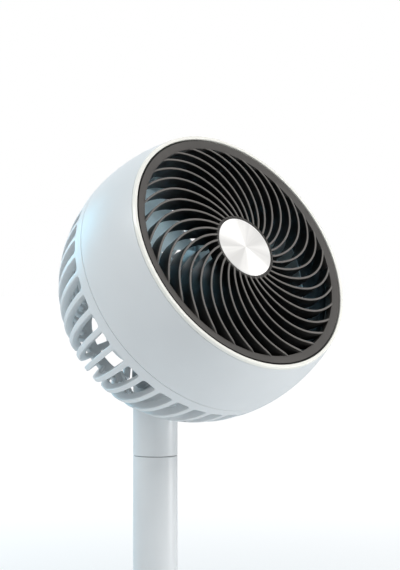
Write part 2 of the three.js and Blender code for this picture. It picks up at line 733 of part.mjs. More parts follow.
function rearShell() {
  const front = SEAM_BACK + SEAM_WIDTH;
  const bandBack = SEAM_BACK + BAND_WIDTH;
  const outside = ballLine(front, bandBack, 1);
  const inside = ballLine(bandBack, front, 1, SHELL_WALL + 1);
  const band = turned([...outside, ...inside], 2 * RIB_COUNT);
  const line = cageLine(3);
  // Both ends of a rib thin out inside the band and inside the back's ring.
  const inRing = [(BACK_RING_INNER + BACK_RING_OUTER) / 2, -CAGE_BACK, 0, -1];
  const rib = loft(
    [...line, inRing].map(([outR, outZ, nr, nz], i) => {
      const buried = i === 0 || i === line.length;
      const taper = RIB_WIDTH * (0.72 + 0.28 * (outR / HEAD_RADIUS)) - (buried ? 0.4 : 0);
      const sunk = buried ? 0.8 : 0;
      const depth = buried ? 2.6 : RIB_DEPTH;
      const [r, z] = [outR - nr * sunk, outZ - nz * sunk];
      const [ri, zi] = [outR - nr * depth, outZ - nz * depth];
      return [
        [r, -taper / 2, z],
        [r, taper / 2, z],
        [ri, taper / 2, zi],
        [ri, -taper / 2, zi],
      ];
    }),
  );
  const pitch = 360 / RIB_COUNT;
  const ribs = steps(RIB_COUNT).map((i) =>
    solid(rib.clone().applyMatrix4(aroundZ(90 + pitch * (i + 0.5)))),
  );
  const backFront = -CAGE_BACK + BACK_THICKNESS;
  const ring = tube(BACK_RING_INNER, BACK_RING_OUTER, -CAGE_BACK, backFront, RIB_COUNT);
  const hub = tube(0, BACK_HUB_RADIUS, -CAGE_BACK, backFront, MEDIUM_SIDES);
  const spokes = steps(SPOKE_COUNT).map((i) => {
    const outline = [
      [BACK_HUB_RADIUS - 2, -SPOKE_WIDTH / 2],
      [BACK_RING_INNER + 2, -SPOKE_WIDTH / 2],
      [BACK_RING_INNER + 2, SPOKE_WIDTH / 2],
      [BACK_HUB_RADIUS - 2, SPOKE_WIDTH / 2],
    ];
    return plate(outline, -CAGE_BACK, backFront, aroundZ(90 + (360 * i) / SPOKE_COUNT));
  });
  const slot = block(
    [-neckSlotHalf, -HEAD_RADIUS, -CAGE_BACK - 5],
    [neckSlotHalf, -neckSlotTop, -neckSlotFront],
  );
  const cage = joined([band, ring, hub, ...spokes, ...ribs]).subtract(slot);

  // Walls at both sides of the neck slot, and the bar across its front end.
  const wallLine = line.slice(1, -1).filter(([, z]) => z < -neckSlotFront + CHEEK_REACH);
  const across = neckSlotHalf + SLOT_CHEEK / 2;
  const drop = (r) => -Math.sqrt(Math.max(r * r - across * across, neckSlotTop ** 2));
  const outerEdge = wallLine.map(([r, z]) => [drop(r), z]);
  const innerEdge = wallLine.map(([r, z, nr, nz]) => [drop(r - nr * RIB_DEPTH), z - nz * RIB_DEPTH]);
  const tail = [
    [-neckSlotTop - 2, -CAGE_BACK],
    [-neckSlotTop - 2, backFront],
  ];
  const outline = [...outerEdge, ...tail, ...innerEdge.toReversed()];
  const cheeks = [-1, 1].map((side) => {
    const middle = side * across;
    return plate(outline, middle - SLOT_CHEEK / 2, middle + SLOT_CHEEK / 2, acrossHead);
  });
  const barBack = neckSlotFront;
  const barFront = neckSlotFront - 5;
  const barArc = Math.ceil(THREE.MathUtils.radToDeg(Math.asin((across + 2) / ballRadius(barBack))));
  const bar = turned(
    [...ballLine(barFront, barBack, 1), ...ballLine(barBack, barFront, 1, RIB_DEPTH)],
    SHELL_SIDES,
  ).intersect(
    plate(
      [[0, 0], onCircle(2 * HEAD_RADIUS, 270 - barArc), onCircle(2 * HEAD_RADIUS, 270 + barArc)],
      -CAGE_BACK,
      0,
    ),
  );
  // Screw posts, webbed to the band.
  const posts = shellScrewAngles.map((a) => {
    const at = [...onCircle(shellScrewCircle, a), 0];
    const post = tube(0, POST_RADIUS, -postBack, -postFront, SCREW_SIDES, at);
    const web = plate(
      [
        [shellScrewCircle, -2],
        [ballRadius(bandBack) - 1, -2],
        [ballRadius(bandBack) - 1, 2],
        [shellScrewCircle, 2],
      ],
      -bandBack,
      -postFront,
      aroundZ(a),
    );
    return post.add(web);
  });
  const whole = joined([cage, ...cheeks, bar, ...posts]);
  return screwHoles(-postBack - 1, -postFront + 1).reduce((sum, hole) => sum.subtract(hole), whole);
}

function rearCap() {
  const face = -CAGE_BACK - GAP;
  return turned(
    [
      [0, face],
      [BACK_HUB_RADIUS - 3, face],
      [BACK_HUB_RADIUS - 3, face - 1.2],
      [BACK_HUB_RADIUS - 5, face - 2.4],
      [0, face - 3],
    ],
    MEDIUM_SIDES,
  );
}

// ---------------------------------------------------------------- tilt joint
const pivot = [-PIVOT_DROP, -PIVOT_BACK]; // y and z in the head
const earInner = TONGUE_HALF + GAP;
const earOuter = earInner + EAR_THICKNESS;
const gearLow = earOuter + RUN;
const gearHigh = gearLow + GEAR_WIDTH;
const gearSpacing = (MODULE * (SECTOR_TEETH + PINION_TEETH)) / 2;
const pinionAt = [
  pivot[0] + gearSpacing * Math.cos(rad(PINION_ANGLE)),
  pivot[1] + gearSpacing * Math.sin(rad(PINION_ANGLE)),
];
const bracketFront = MOTOR_BACK + GAP;
const bracketBack = bracketFront + BRACKET_THICKNESS;
const bushOuter = TILT_SHAFT_RADIUS + RUN + BUSH_WALL;

// Two screws hold the bracket to the motor's rear shield.
const bracketScrewPlaces = [-1, 1].map((side) => [0, side * BRACKET_SCREW_SPREAD]);
const bracketScrewHoles = (low, high) =>
  bracketScrewPlaces.map((at) => tube(0, SCREW_RADIUS + GAP, low, high, SCREW_SIDES, [...at, 0]));

// Pushes an outline of [y, z] points in the head sideways, from one x to another.
const acrossHead = new THREE.Matrix4().makeBasis(
  new THREE.Vector3(0, 1, 0),
  new THREE.Vector3(0, 0, 1),
  new THREE.Vector3(1, 0, 0),
);

function tiltBracket() {
  const half = BRACKET_HALF;
  const base = block([-earOuter - 2, -half, -bracketBack], [earOuter + 2, half, -bracketFront]);
  const around = steps(7).map((i) => {
    const angle = rad(135 + 180 * (i / 6)); // the half circle away from the motor
    return [pivot[0] + EAR_RADIUS * Math.cos(angle), pivot[1] + EAR_RADIUS * Math.sin(angle)];
  });
  const ear = [[-half, -bracketFront - 1], ...around, [half, -bracketFront - 1]];
  const pinionLug = steps(8).map((i) => {
    const reach = PINION_SHAFT_RADIUS + RUN + 4;
    return [
      pinionAt[0] + reach * Math.cos(rad(45 * i)),
      pinionAt[1] + reach * Math.sin(rad(45 * i)),
    ];
  });
  const right = plate(ear, earInner, earOuter, acrossHead);
  const lug = plate(pinionLug, earInner, earOuter, acrossHead);
  const left = plate(ear, -earOuter, -earInner, acrossHead);
  const bushHole = tubeAlongX(0, bushOuter + GAP, -2 * earOuter, 2 * earOuter, SMALL_SIDES, pivot);
  const pinionHole = tubeAlongX(0, PINION_SHAFT_RADIUS + RUN, 0, 2 * earOuter, SMALL_SIDES, pinionAt);
  const holes = [bushHole, pinionHole, ...bracketScrewHoles(-bracketBack - 1, -bracketFront + 1)];
  return holes.reduce((sum, hole) => sum.subtract(hole), joined([base, left, right, lug]));
}

function tiltBush(side) {
  const low = Math.min(side * earInner, side * earOuter);
  return tubeAlongX(
    TILT_SHAFT_RADIUS + RUN,
    bushOuter,
    low,
    low + EAR_THICKNESS,
    SMALL_SIDES,
    pivot,
  );
}

// An involute gear's outline round the origin, with its teeth from one angle to another.
function gearOutline(teeth, from, to) {
  const pitch = (MODULE * teeth) / 2;
  const base = pitch * Math.cos(rad(20));
  const tip = pitch + MODULE;
  const root = pitch - 1.25 * MODULE;
  const involute = (r) => {
    const a = Math.acos(Math.min(1, base / r));
    return Math.tan(a) - a;
  };
  const half = Math.PI / (2 * teeth) - GEAR_BACKLASH / 2 / pitch + involute(pitch);
  const outline = [];
  const first = Math.ceil((from * teeth) / 360);
  const last = Math.floor((to * teeth) / 360);
  for (let i = first; i <= last; i++) {
    const middle = (2 * Math.PI * i) / teeth;
    const flank = [Math.max(base, root), pitch, tip].map((r) => [r, half - involute(r)]);
    outline.push([root, middle - flank[0][1]]);
    flank.forEach(([r, a]) => outline.push([r, middle - a]));
    flank.toReversed().forEach(([r, a]) => outline.push([r, middle + a]));
    outline.push([root, middle + flank[0][1]]);
  }
  return outline.map(([r, a]) => [r * Math.cos(a), r * Math.sin(a)]);
}

function tiltPinion() {
  const gear = plate(
    gearOutline(PINION_TEETH, 0, 360 - 180 / PINION_TEETH),
    gearLow,
    gearHigh,
    gearFrame(pinionAt, PINION_ANGLE + 180 + 180 / PINION_TEETH),
  );
  const stepperFace = earInner - GAP;
  const low = stepperFace + GAP / 2;
  return gear.add(tubeAlongX(0, PINION_SHAFT_RADIUS, low, gearHigh, SMALL_SIDES, pinionAt));
}

// Turns an outline's +X to an angle from straight up towards the front, about a point in the head.
function gearFrame([y, z], angle) {
  const [c, s] = [Math.cos(rad(angle)), Math.sin(rad(angle))];
  return new THREE.Matrix4()
    .makeBasis(new THREE.Vector3(0, c, s), new THREE.Vector3(0, -s, c), new THREE.Vector3(1, 0, 0))
    .setPosition(0, y, z);
}

function tiltStepper() {
  const face = earInner - GAP;
  return tubeAlongX(0, STEPPER_RADIUS, face - STEPPER_LENGTH, face, 24, pinionAt);
}

// ---------------------------------------------------------------- neck pieces, in the floor frame
const neckBore = STEM_RADIUS - NECK_WALL;
const neckBottom = SWING_SEAM + 2 * GAP;
const shaftAt = [0, PIVOT_HEIGHT];

function neckTube() {
  const shoulder = PIVOT_HEIGHT - KNUCKLE_DROP;
  const rise = KNUCKLE_DROP + KNUCKLE_TOP;
  const dome = steps(6).map((i) => {
    const a = rad(90 * (i / 5));
    return [i === 5 ? 0 : STEM_RADIUS * Math.cos(a), shoulder + rise * Math.sin(a)];
  });
  const roof = PIVOT_HEIGHT - TILT_SHAFT_RADIUS - 12;
  const body = turned(
    [[0, roof], [neckBore, roof - 6], [neckBore, neckBottom], [STEM_RADIUS, neckBottom], ...dome],
    MEDIUM_SIDES,
  );
  const clear = 2 * STEM_RADIUS;
  const recess = (side) => {
    const [low, high] = side > 0 ? [TONGUE_HALF, clear] : [-clear, -TONGUE_HALF];
    return block(
      [low, -clear, PIVOT_HEIGHT - RECESS_DROP],
      [high, clear, PIVOT_HEIGHT + 2 * KNUCKLE_TOP],
    );
  };
  const hole = tubeAlongX(0, TILT_SHAFT_RADIUS + GAP, -clear, clear, SMALL_SIDES, shaftAt);
  return body.subtract(recess(1)).subtract(recess(-1)).subtract(hole);
}

const shaftEnd = gearHigh + 2;

function tiltShaft() {
  return tubeAlongX(0, TILT_SHAFT_RADIUS, -earOuter - 3, shaftEnd, SMALL_SIDES, shaftAt);
}

// The gear on the neck: teeth only where the pinion passes, and a web down to the shaft.
function tiltSector() {
  const reach = 14; // degrees of teeth past each end of the travel
  const from = PINION_ANGLE - REST_TILT - TILT_UP - reach;
  const to = PINION_ANGLE - REST_TILT + TILT_DOWN + reach;
  const aim = PINION_ANGLE - REST_TILT; // the pinion from straight up towards the front, at rest
  const arc = gearOutline(SECTOR_TEETH, from - aim, to - aim);
  const outline = [...arc, [-8, 8], [-10, 0], [-8, -8]];
  const [c, s] = [Math.cos(rad(aim)), Math.sin(rad(aim))];
  const frame = new THREE.Matrix4()
    .makeBasis(new THREE.Vector3(0, -s, c), new THREE.Vector3(0, -c, -s), new THREE.Vector3(1, 0, 0))
    .setPosition(0, ...shaftAt);
  const bore = tubeAlongX(0, TILT_SHAFT_RADIUS + GAP, 0, 2 * gearHigh, SMALL_SIDES, shaftAt);
  return plate(outline, gearLow, gearHigh, frame).subtract(bore);
}

const bearingHigh = SWING_SEAM - SWING_BEARING_DROP;
const bearingLow = bearingHigh - SWING_BEARING_WIDTH;
const stemBore = STEM_RADIUS - STEM_WALL;
const spigotRadius = 12;
const swingShaft = 3;
const mountHigh = bearingLow - GAP;
const mountLow = mountHigh - 4;

function neckHub() {
  const flange = stemBore - RUN;
  const plug = neckBore - GAP;
  return turned(
    [
      [swingShaft + GAP, bearingLow],
      [spigotRadius, bearingLow],
      [spigotRadius, bearingHigh + GAP],
      [flange, bearingHigh + GAP],
      [flange, SWING_SEAM + GAP],
      [plug, SWING_SEAM + GAP],
      [plug, SWING_SEAM + SWING_PLUG_RISE],
      [swingShaft + GAP, SWING_SEAM + SWING_PLUG_RISE],
    ],
    MEDIUM_SIDES,
  );
}

function swingShaftPiece() {
  return tube(0, swingShaft, mountLow - 1, SWING_SEAM + SWING_PLUG_RISE - 2, SMALL_SIDES);
}

// ---------------------------------------------------------------- stem and base
function swingBearing() {
  return tube(spigotRadius + RUN, stemBore - GAP, bearingLow, bearingHigh, MEDIUM_SIDES);
}

function swingMotorMount() {
  return tube(swingShaft + RUN, stemBore - GAP, mountLow, mountHigh, MEDIUM_SIDES);
}

function swingStepper() {
  const top = mountLow - 1 - GAP;
  return turned(
    [
      [0, top - SWING_STEPPER_LENGTH],
      [SWING_STEPPER_RADIUS, top - SWING_STEPPER_LENGTH],
      [SWING_STEPPER_RADIUS, top],
      [9, top],
      [9, mountLow - GAP],
      [swingShaft + RUN, mountLow - GAP],
      [swingShaft + RUN, top - 2],
      [0, top - 2],
    ],
    24,
  );
}

const plateBottom = PAD_THICKNESS + GAP;
const plateTop = plateBottom + PLATE_THICKNESS;
const ballastLow = plateTop + GAP;
const ballastHigh = ballastLow + BALLAST_THICKNESS;
const stemFoot = ballastLow;
// The cone's underside and top at a distance from the axis.
const coneSlope = (BASE_TOP_HEIGHT - BASE_EDGE_HEIGHT - 6) / (BASE_CONE_START - COLLAR_RADIUS);
const coneTop = (r) => BASE_TOP_HEIGHT - coneSlope * (r - COLLAR_RADIUS);
const coneAngle = Math.atan(coneSlope);

function stem() {
  return tube(stemBore, STEM_RADIUS, stemFoot, SWING_SEAM, MEDIUM_SIDES);
}

// The cone's own frame at the control panel: X across, Y up the slope, Z out of the surface.
const panelFrame = new THREE.Matrix4()
  .makeRotationX(coneAngle)
  .setPosition(0, -PANEL_PLACE, coneTop(PANEL_PLACE));

// A rounded bar across the panel, in the panel's frame.
function roundedBar(length, width, low, high) {
  const half = length / 2 - width / 2;
  const end = (side) =>
    steps(7).map((i) => {
      const a = rad(-90 + 30 * i) + (side < 0 ? Math.PI : 0);
      return [side * half + (width / 2) * Math.cos(a), (width / 2) * Math.sin(a)];
    });
  return plate([...end(1), ...end(-1)], low, high, panelFrame);
}

const buttonPlaces = steps(4).map((i) => (i - 1.5) * BUTTON_PITCH);
const inPanel = (geometry) => solid(geometry.applyMatrix4(panelFrame));

// A turned piece standing at x on the panel, in the panel's frame.
function onPanel(profile, x, sides) {
  const loop = profile[0][0] === 0 ? profile : [...profile, profile[0]];
  const geometry = new THREE.LatheGeometry(
    loop.map(([r, z]) => new THREE.Vector2(r, z)),
    sides,
  );
  return inPanel(geometry.rotateX(Math.PI / 2).translate(x, 0, 0));
}

const baseScrewAngles = [45, 135, 225, 315];
const panelTop = 0.4; // proud of the cone
const boardTop = panelTop - BOARD_DROP;

function baseShell() {
  const fillet = steps(4).map((i) => {
    const a = rad(90 * (i / 3)) * 0.93;
    return [
      BASE_CONE_START + (BASE_RADIUS - BASE_CONE_START) * Math.cos(a),
      BASE_EDGE_HEIGHT + (coneTop(BASE_CONE_START) - BASE_EDGE_HEIGHT) * Math.sin(a),
    ];
  });
  const hole = STEM_RADIUS + GAP;
  const under = [
    [hole, BASE_TOP_HEIGHT - BASE_WALL],
    [COLLAR_RADIUS, BASE_TOP_HEIGHT - BASE_WALL],
    [BASE_CONE_START, coneTop(BASE_CONE_START) - BASE_WALL],
    [BASE_RADIUS - BASE_WALL - 2, BASE_EDGE_HEIGHT + 1],
    [BASE_RADIUS - BASE_WALL, plateTop + GAP],
    [BASE_RADIUS - BASE_WALL, plateBottom],
  ];
  const top = [
    [COLLAR_RADIUS, BASE_TOP_HEIGHT],
    [hole, BASE_TOP_HEIGHT],
  ];
  const body = turned([[BASE_RADIUS, plateBottom], ...fillet, ...top, ...under], RING_SIDES);
  const bosses = baseScrewAngles.map((a) => {
    const high = coneTop(BASE_BOSS_CIRCLE) - BASE_WALL / 2;
    return tube(0, BASE_BOSS_RADIUS, plateTop + GAP, high, 12, [...onCircle(BASE_BOSS_CIRCLE, a), 0]);
  });
  const holes = baseScrewAngles.map((a) => {
    const deep = plateBottom + SCREW_HEAD_HEIGHT + BASE_SCREW_LENGTH + 1;
    return tube(0, SCREW_RADIUS + GAP, 0, deep, SCREW_SIDES, [...onCircle(BASE_BOSS_CIRCLE, a), 0]);
  });
  const pocket = roundedBar(PANEL_LENGTH + 2 * GAP, PANEL_WIDTH + 2 * GAP, -12, 8);
  const port = inletBlock(INLET_WIDTH + 2 * GAP, INLET_HEIGHT + 2 * GAP, GAP + 10);
  const cuts = [...holes, pocket, port];
  return cuts.reduce((sum, cut) => sum.subtract(cut), joined([body, ...bosses]));
}

// The block of the power inlet, standing through the rear wall of the base.
function inletBlock(width, height, extra) {
  const back = BASE_RADIUS - 0.6 + extra;
  const middle = plateTop + GAP + 1 + INLET_HEIGHT / 2;
  return block(
    [-width / 2, BASE_RADIUS - INLET_DEPTH, middle - height / 2],
    [width / 2, back, middle + height / 2],
  );
}

function powerInlet() {
  const middle = plateTop + GAP + 1 + INLET_HEIGHT / 2;
  const geometry = new THREE.CylinderGeometry(INLET_BORE, INLET_BORE, 20, SMALL_SIDES);
  const bore = solid(geometry.translate(0, BASE_RADIUS, middle));
  return inletBlock(INLET_WIDTH, INLET_HEIGHT, 0).subtract(bore);
}

function controlPanel() {
  const low = panelTop - PANEL_THICKNESS;
  const body = roundedBar(PANEL_LENGTH, PANEL_WIDTH, low, panelTop);
  const hole = BUTTON_RADIUS + RUN;
  const drill = [
    [0, low - 1],
    [hole, low - 1],
    [hole, panelTop + 1],
    [0, panelTop + 1],
  ];
  return buttonPlaces.reduce((sum, x) => sum.subtract(onPanel(drill, x, SMALL_SIDES)), body);
}

function button(x) {
  const top = panelTop + BUTTON_PROUD;
  const flange = panelTop - PANEL_THICKNESS - GAP;
  const foot = boardTop + BUTTON_TRAVEL + 1 + GAP;
  return onPanel(
    [
      [0, foot],
      [2, foot],
      [2, flange - 1],
      [BUTTON_RADIUS + 1.5, flange - 1],
      [BUTTON_RADIUS + 1.5, flange],
      [BUTTON_RADIUS, flange],
      [BUTTON_RADIUS, top - 0.5],
      [BUTTON_RADIUS - 0.7, top],
      [0, top],
    ],
    x,
    SMALL_SIDES,
  );
}

// The board under the panel, with a switch under each button and two posts up to the panel.
function controlBoard() {
  const low = boardTop - BOARD_THICKNESS;
  const half = [PANEL_LENGTH / 2 - 3, PANEL_WIDTH / 2 - 1];
  const board = new THREE.BoxGeometry(2 * half[0], 2 * half[1], BOARD_THICKNESS);
  const body = inPanel(board.translate(0, 0, low + BOARD_THICKNESS / 2));
  const keys = buttonPlaces.map((x) =>
    inPanel(new THREE.BoxGeometry(5, 5, 1.2).translate(x, 0, boardTop + 0.4)),
  );
  const posts = [-1, 1].map((side) =>
    onPanel(
      [
        [0, boardTop - 0.5],
        [1.6, boardTop - 0.5],
        [1.6, panelTop - PANEL_THICKNESS - GAP],
        [0, panelTop - PANEL_THICKNESS - GAP],
      ],
      side * (half[0] - 2.5),
      SCREW_SIDES,
    ),
  );
  return joined([body, ...keys, ...posts]);
}

function antiSlipPad() {
  return tube(0, PAD_RADIUS, 0, PAD_THICKNESS, RING_SIDES);
}

function bottomPlate() {
  const edge = BASE_RADIUS - BASE_WALL - GAP;
  const body = tube(0, edge, plateBottom, plateTop, RING_SIDES);
  return baseScrewAngles.reduce((sum, a) => {
    const at = [...onCircle(BASE_BOSS_CIRCLE, a), 0];
    const pocket = plateBottom + SCREW_HEAD_HEIGHT + GAP;
    return sum
      .subtract(tube(0, SCREW_RADIUS + GAP, 0, plateTop + 1, SCREW_SIDES, at))
      .subtract(tube(0, SCREW_HEAD_RADIUS + GAP, 0, pocket, SCREW_SIDES, at));
  }, body);
}

// A cast ring with a notch that leaves room for the control board.
function ballast() {
  const ring = tube(BALLAST_INNER, BALLAST_OUTER, ballastLow, ballastHigh, RING_SIDES);
  const half = PANEL_LENGTH / 2 + 2;
  const notchBack = -PANEL_PLACE + PANEL_WIDTH / 2 + 3;
  return ring.subtract(block([-half, -BASE_RADIUS, 0], [half, notchBack, ballastHigh + 5]));
}

const socketTop = BASE_TOP_HEIGHT - BASE_WALL - GAP;
const socketFlangeLow = 18;

// The socket that holds the stem's foot, with a flange under the base shell's top.
function stemSocket() {
  const inner = STEM_RADIUS + GAP;
  const outer = inner + SOCKET_WALL;
  const flangeTop = coneTop(SOCKET_FLANGE) - BASE_WALL - GAP;
  return turned(
    [
      [inner, ballastLow],
      [outer, ballastLow],
      [outer, socketFlangeLow],
      [SOCKET_FLANGE, socketFlangeLow],
      [SOCKET_FLANGE, flangeTop],
      [COLLAR_RADIUS, coneTop(COLLAR_RADIUS) - BASE_WALL - GAP],
      [inner, socketTop],
    ],
    MEDIUM_SIDES,
  );
}

function stemCollar() {
  const inner = STEM_RADIUS + GAP;
  const low = BASE_TOP_HEIGHT + GAP;
  return turned(
    [
      [inner, low],
      [COLLAR_RADIUS - 0.5, low],
      [COLLAR_RADIUS - 1, low + COLLAR_HEIGHT * 0.6],
      [inner + 1.5, low + COLLAR_HEIGHT],
      [inner, low + COLLAR_HEIGHT],
    ],
    MEDIUM_SIDES,
  );
}

// ---------------------------------------------------------------- assembly
const fan = new THREE.Group();

place(fan, "anti_slip_pad", antiSlipPad(), rubber);
place(fan, "bottom_plate", bottomPlate(), blackPlastic);
place(fan, "ballast_weight", ballast(), castIron);
place(fan, "base_shell", baseShell(), shellWhite);
place(fan, "stem_socket", stemSocket(), innerGrey);
place(fan, "stem_collar", stemCollar(), trimWhite);
place(fan, "stem_tube", stem(), shellWhite);
place(fan, "control_panel", controlPanel(), panelBlack);
place(fan, "control_board", controlBoard(), boardGreen);
place(fan, "power_inlet", powerInlet(), blackPlastic);
["power", "speed", "swing", "timer"].forEach((use, i) =>
  place(fan, `${use}_button`, button(buttonPlaces[i]), keyWhite),
);
baseScrewAngles.forEach((a, i) => {
  const height = plateBottom + SCREW_HEAD_HEIGHT;
  const body = screw(BASE_SCREW_LENGTH, height, 1, onCircle(BASE_BOSS_CIRCLE, a));
  place(fan, `base_screw_${i + 1}`, body, zincSteel);
});
place(fan, "swing_stepper", swingStepper(), steel);
place(fan, "swing_motor_mount", swingMotorMount(), innerGrey);
place(fan, "swing_bearing", swingBearing(), blackPlastic);

place(fan, "swing_shaft", swingShaftPiece(), steel);
place(fan, "neck_hub", neckHub(), innerGrey);
place(fan, "neck_tube", neckTube(), shellWhite);
place(fan, "tilt_shaft", tiltShaft(), steel);
place(fan, "tilt_sector_gear", tiltSector(), brassTone);

// The head leans back about the tilt shaft.
const leaning = new THREE.Group();
leaning.position.z = PIVOT_HEIGHT;
leaning.rotation.x = rad(90 - REST_TILT);
fan.add(leaning);
const head = new THREE.Group();
head.position.set(0, PIVOT_DROP, PIVOT_BACK);
leaning.add(head);

place(head, "front_grille", frontGrille(), grilleGrey);
place(head, "hub_badge", hubBadge(), brushedMetal);
place(head, "rim_trim", rimTrim(), trimWhite);
place(head, "front_shell", frontShell(), shellWhite);
place(head, "rear_shell", rearShell(), shellWhite);
place(head, "rear_cap", rearCap(), shellWhite);
place(head, "air_duct", airDuct(), ductBlue);
place(head, "motor_spider", motorSpider(), innerGrey);
place(head, "motor_can", motorCan(), zincSteel);
place(head, "motor_rear_shield", motorRearShield(), zincSteel);
place(head, "stator_core", statorCore(), steel);
place(head, "winding_head_front", windingHead(1), copper);
place(head, "winding_head_rear", windingHead(-1), copper);
place(head, "front_bearing", bearing(-motorCavityFront + 1 - GAP - BEARING_WIDTH), steel);
place(head, "rear_bearing", bearing(-shieldFront - 1 + GAP), steel);
place(head, "tilt_bracket", tiltBracket(), zincSteel);
bracketScrewPlaces.forEach((at, i) => {
  const length = BRACKET_THICKNESS + BRACKET_SCREW_DEPTH;
  place(head, `bracket_screw_${i + 1}`, screw(length, -bracketBack - GAP, 1, at), zincSteel);
});
place(head, "tilt_bush_left", tiltBush(-1), brassTone);
place(head, "tilt_bush_right", tiltBush(1), brassTone);
place(head, "tilt_stepper", tiltStepper(), steel);
shellScrewAngles.forEach((a, i) => {
  const length = postBack - ductFlangeBack + FLANGE_THICKNESS + 3;
  const body = screw(length, -postBack - GAP, 1, onCircle(shellScrewCircle, a));
  place(head, `shell_screw_${i + 1}`, body, zincSteel);
});

place(head, "impeller", impeller(), smokedBlue);
place(head, "impeller_nut", impellerNut(), blackPlastic);
place(head, "motor_shaft", motorShaft(), steel);
place(head, "rotor_core", rotorCore(), zincSteel);
place(head, "tilt_pinion", tiltPinion(), brassTone);

export default fan;
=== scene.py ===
"""Dresses a packed table air circulator fan: a ball-shaped head on a round stem and a weighted base.

Everything is in metres in the fan's own frame: +Z up, the fan blows towards -Y, and the origin is on the
floor below the stem's axis. Sizes inside the head are given along the head's own axis: Z runs forward from
the grille ring's face, and X is the fan's X.
"""

from __future__ import annotations

import json
import logging
import math
from dataclasses import dataclass
from enum import Enum
from typing import Callable, Iterable, Sequence

import bmesh
import bpy
from mathutils import Matrix, Vector

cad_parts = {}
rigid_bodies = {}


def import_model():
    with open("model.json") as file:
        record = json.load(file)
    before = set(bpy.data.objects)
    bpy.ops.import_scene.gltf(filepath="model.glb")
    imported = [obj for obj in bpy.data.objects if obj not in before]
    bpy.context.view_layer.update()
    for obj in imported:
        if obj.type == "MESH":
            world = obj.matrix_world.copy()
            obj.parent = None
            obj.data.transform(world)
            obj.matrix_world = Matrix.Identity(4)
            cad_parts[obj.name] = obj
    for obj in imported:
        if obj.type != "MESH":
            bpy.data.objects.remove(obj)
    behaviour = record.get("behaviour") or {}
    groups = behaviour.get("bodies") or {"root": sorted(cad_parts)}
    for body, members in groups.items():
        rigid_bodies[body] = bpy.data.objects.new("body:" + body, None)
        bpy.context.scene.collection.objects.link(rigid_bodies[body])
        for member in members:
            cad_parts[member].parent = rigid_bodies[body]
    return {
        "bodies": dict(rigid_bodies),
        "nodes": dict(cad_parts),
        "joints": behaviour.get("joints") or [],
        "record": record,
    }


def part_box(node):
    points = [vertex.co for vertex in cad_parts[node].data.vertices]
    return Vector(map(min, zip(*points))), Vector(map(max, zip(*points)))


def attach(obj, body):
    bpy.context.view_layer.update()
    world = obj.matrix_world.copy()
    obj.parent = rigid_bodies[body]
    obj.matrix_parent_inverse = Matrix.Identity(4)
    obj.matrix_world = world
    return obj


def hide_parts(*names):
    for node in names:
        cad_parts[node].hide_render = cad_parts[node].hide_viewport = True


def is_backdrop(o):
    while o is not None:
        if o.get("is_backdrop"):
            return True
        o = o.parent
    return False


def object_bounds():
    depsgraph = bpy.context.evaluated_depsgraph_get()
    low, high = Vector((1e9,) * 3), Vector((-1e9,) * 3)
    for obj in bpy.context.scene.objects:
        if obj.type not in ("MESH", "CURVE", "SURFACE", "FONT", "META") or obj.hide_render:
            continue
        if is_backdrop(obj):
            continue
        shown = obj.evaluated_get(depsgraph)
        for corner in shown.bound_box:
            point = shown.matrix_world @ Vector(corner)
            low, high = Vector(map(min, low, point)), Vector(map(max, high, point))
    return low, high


LOG = logging.getLogger("air_circulator")

Point = tuple[float, float]
Colour = tuple[float, float, float]
TAU = 2 * math.pi
GAP = 0.0003  # between pieces that seat on each other
RUN = 0.0005  # between pieces that turn past each other
FINE = 192  # facets round a large turned piece
MEDIUM = 96
SMALL = 48
RING_OUTER = 0.1121  # radius of the grille's ring
RING_DEPTH = 0.010
SHELL_WALL = 0.0025
MOTOR_SHAFT = 0.004  # radius
TILT_SHAFT = 0.004  # radius
STEM_RADIUS = 0.0205
ROUNDING = 0.0004  # of most moulded edges
SAME_SPOT = 1e-7  # points nearer than this are one
ON_AXIS = 1e-9  # radii below this lie on the axis
TINY = 1e-6  # less than this is nothing on a finished mesh
# Name of the mesh attribute that holds the share of painted light.
PAINTED_LIGHT_ATTRIBUTE = "edge"


class Body(Enum):
    """The rigid bodies that pieces ride on."""

    BASE = "base"
    NECK = "neck"
    HEAD = "head"
    IMPELLER = "impeller"
    PINION = "tilt_pinion"
    POWER_KEY = "power_button"
    SPEED_KEY = "speed_button"
    SWING_KEY = "swing_button"
    TIMER_KEY = "timer_button"


KEY_BODIES = (Body.POWER_KEY, Body.SPEED_KEY, Body.SWING_KEY, Body.TIMER_KEY)


class Look(Enum):
    """The finishes of the fan, by the record's material slots."""

    RUBBER = "rubber"
    BLACK_PLASTIC = "black_plastic"
    CAST_IRON = "cast_iron"
    SHELL_WHITE = "shell_white"
    TRIM_WHITE = "trim_white"
    DUCT_BLUE = "duct_blue"
    GRILLE_GREY = "grille_grey"
    SMOKED_BLUE = "smoked_blue"
    SPUN_METAL = "spun_metal"
    STEEL = "steel"
    ZINC_STEEL = "zinc_steel"
    DIE_CAST = "die_cast"
    COPPER = "copper"
    BRASS = "brass"
    INNER_GREY = "inner_grey"
    BOARD_GREEN = "board_green"
    PANEL_BLACK = "panel_black"
    KEY_WHITE = "key_white"


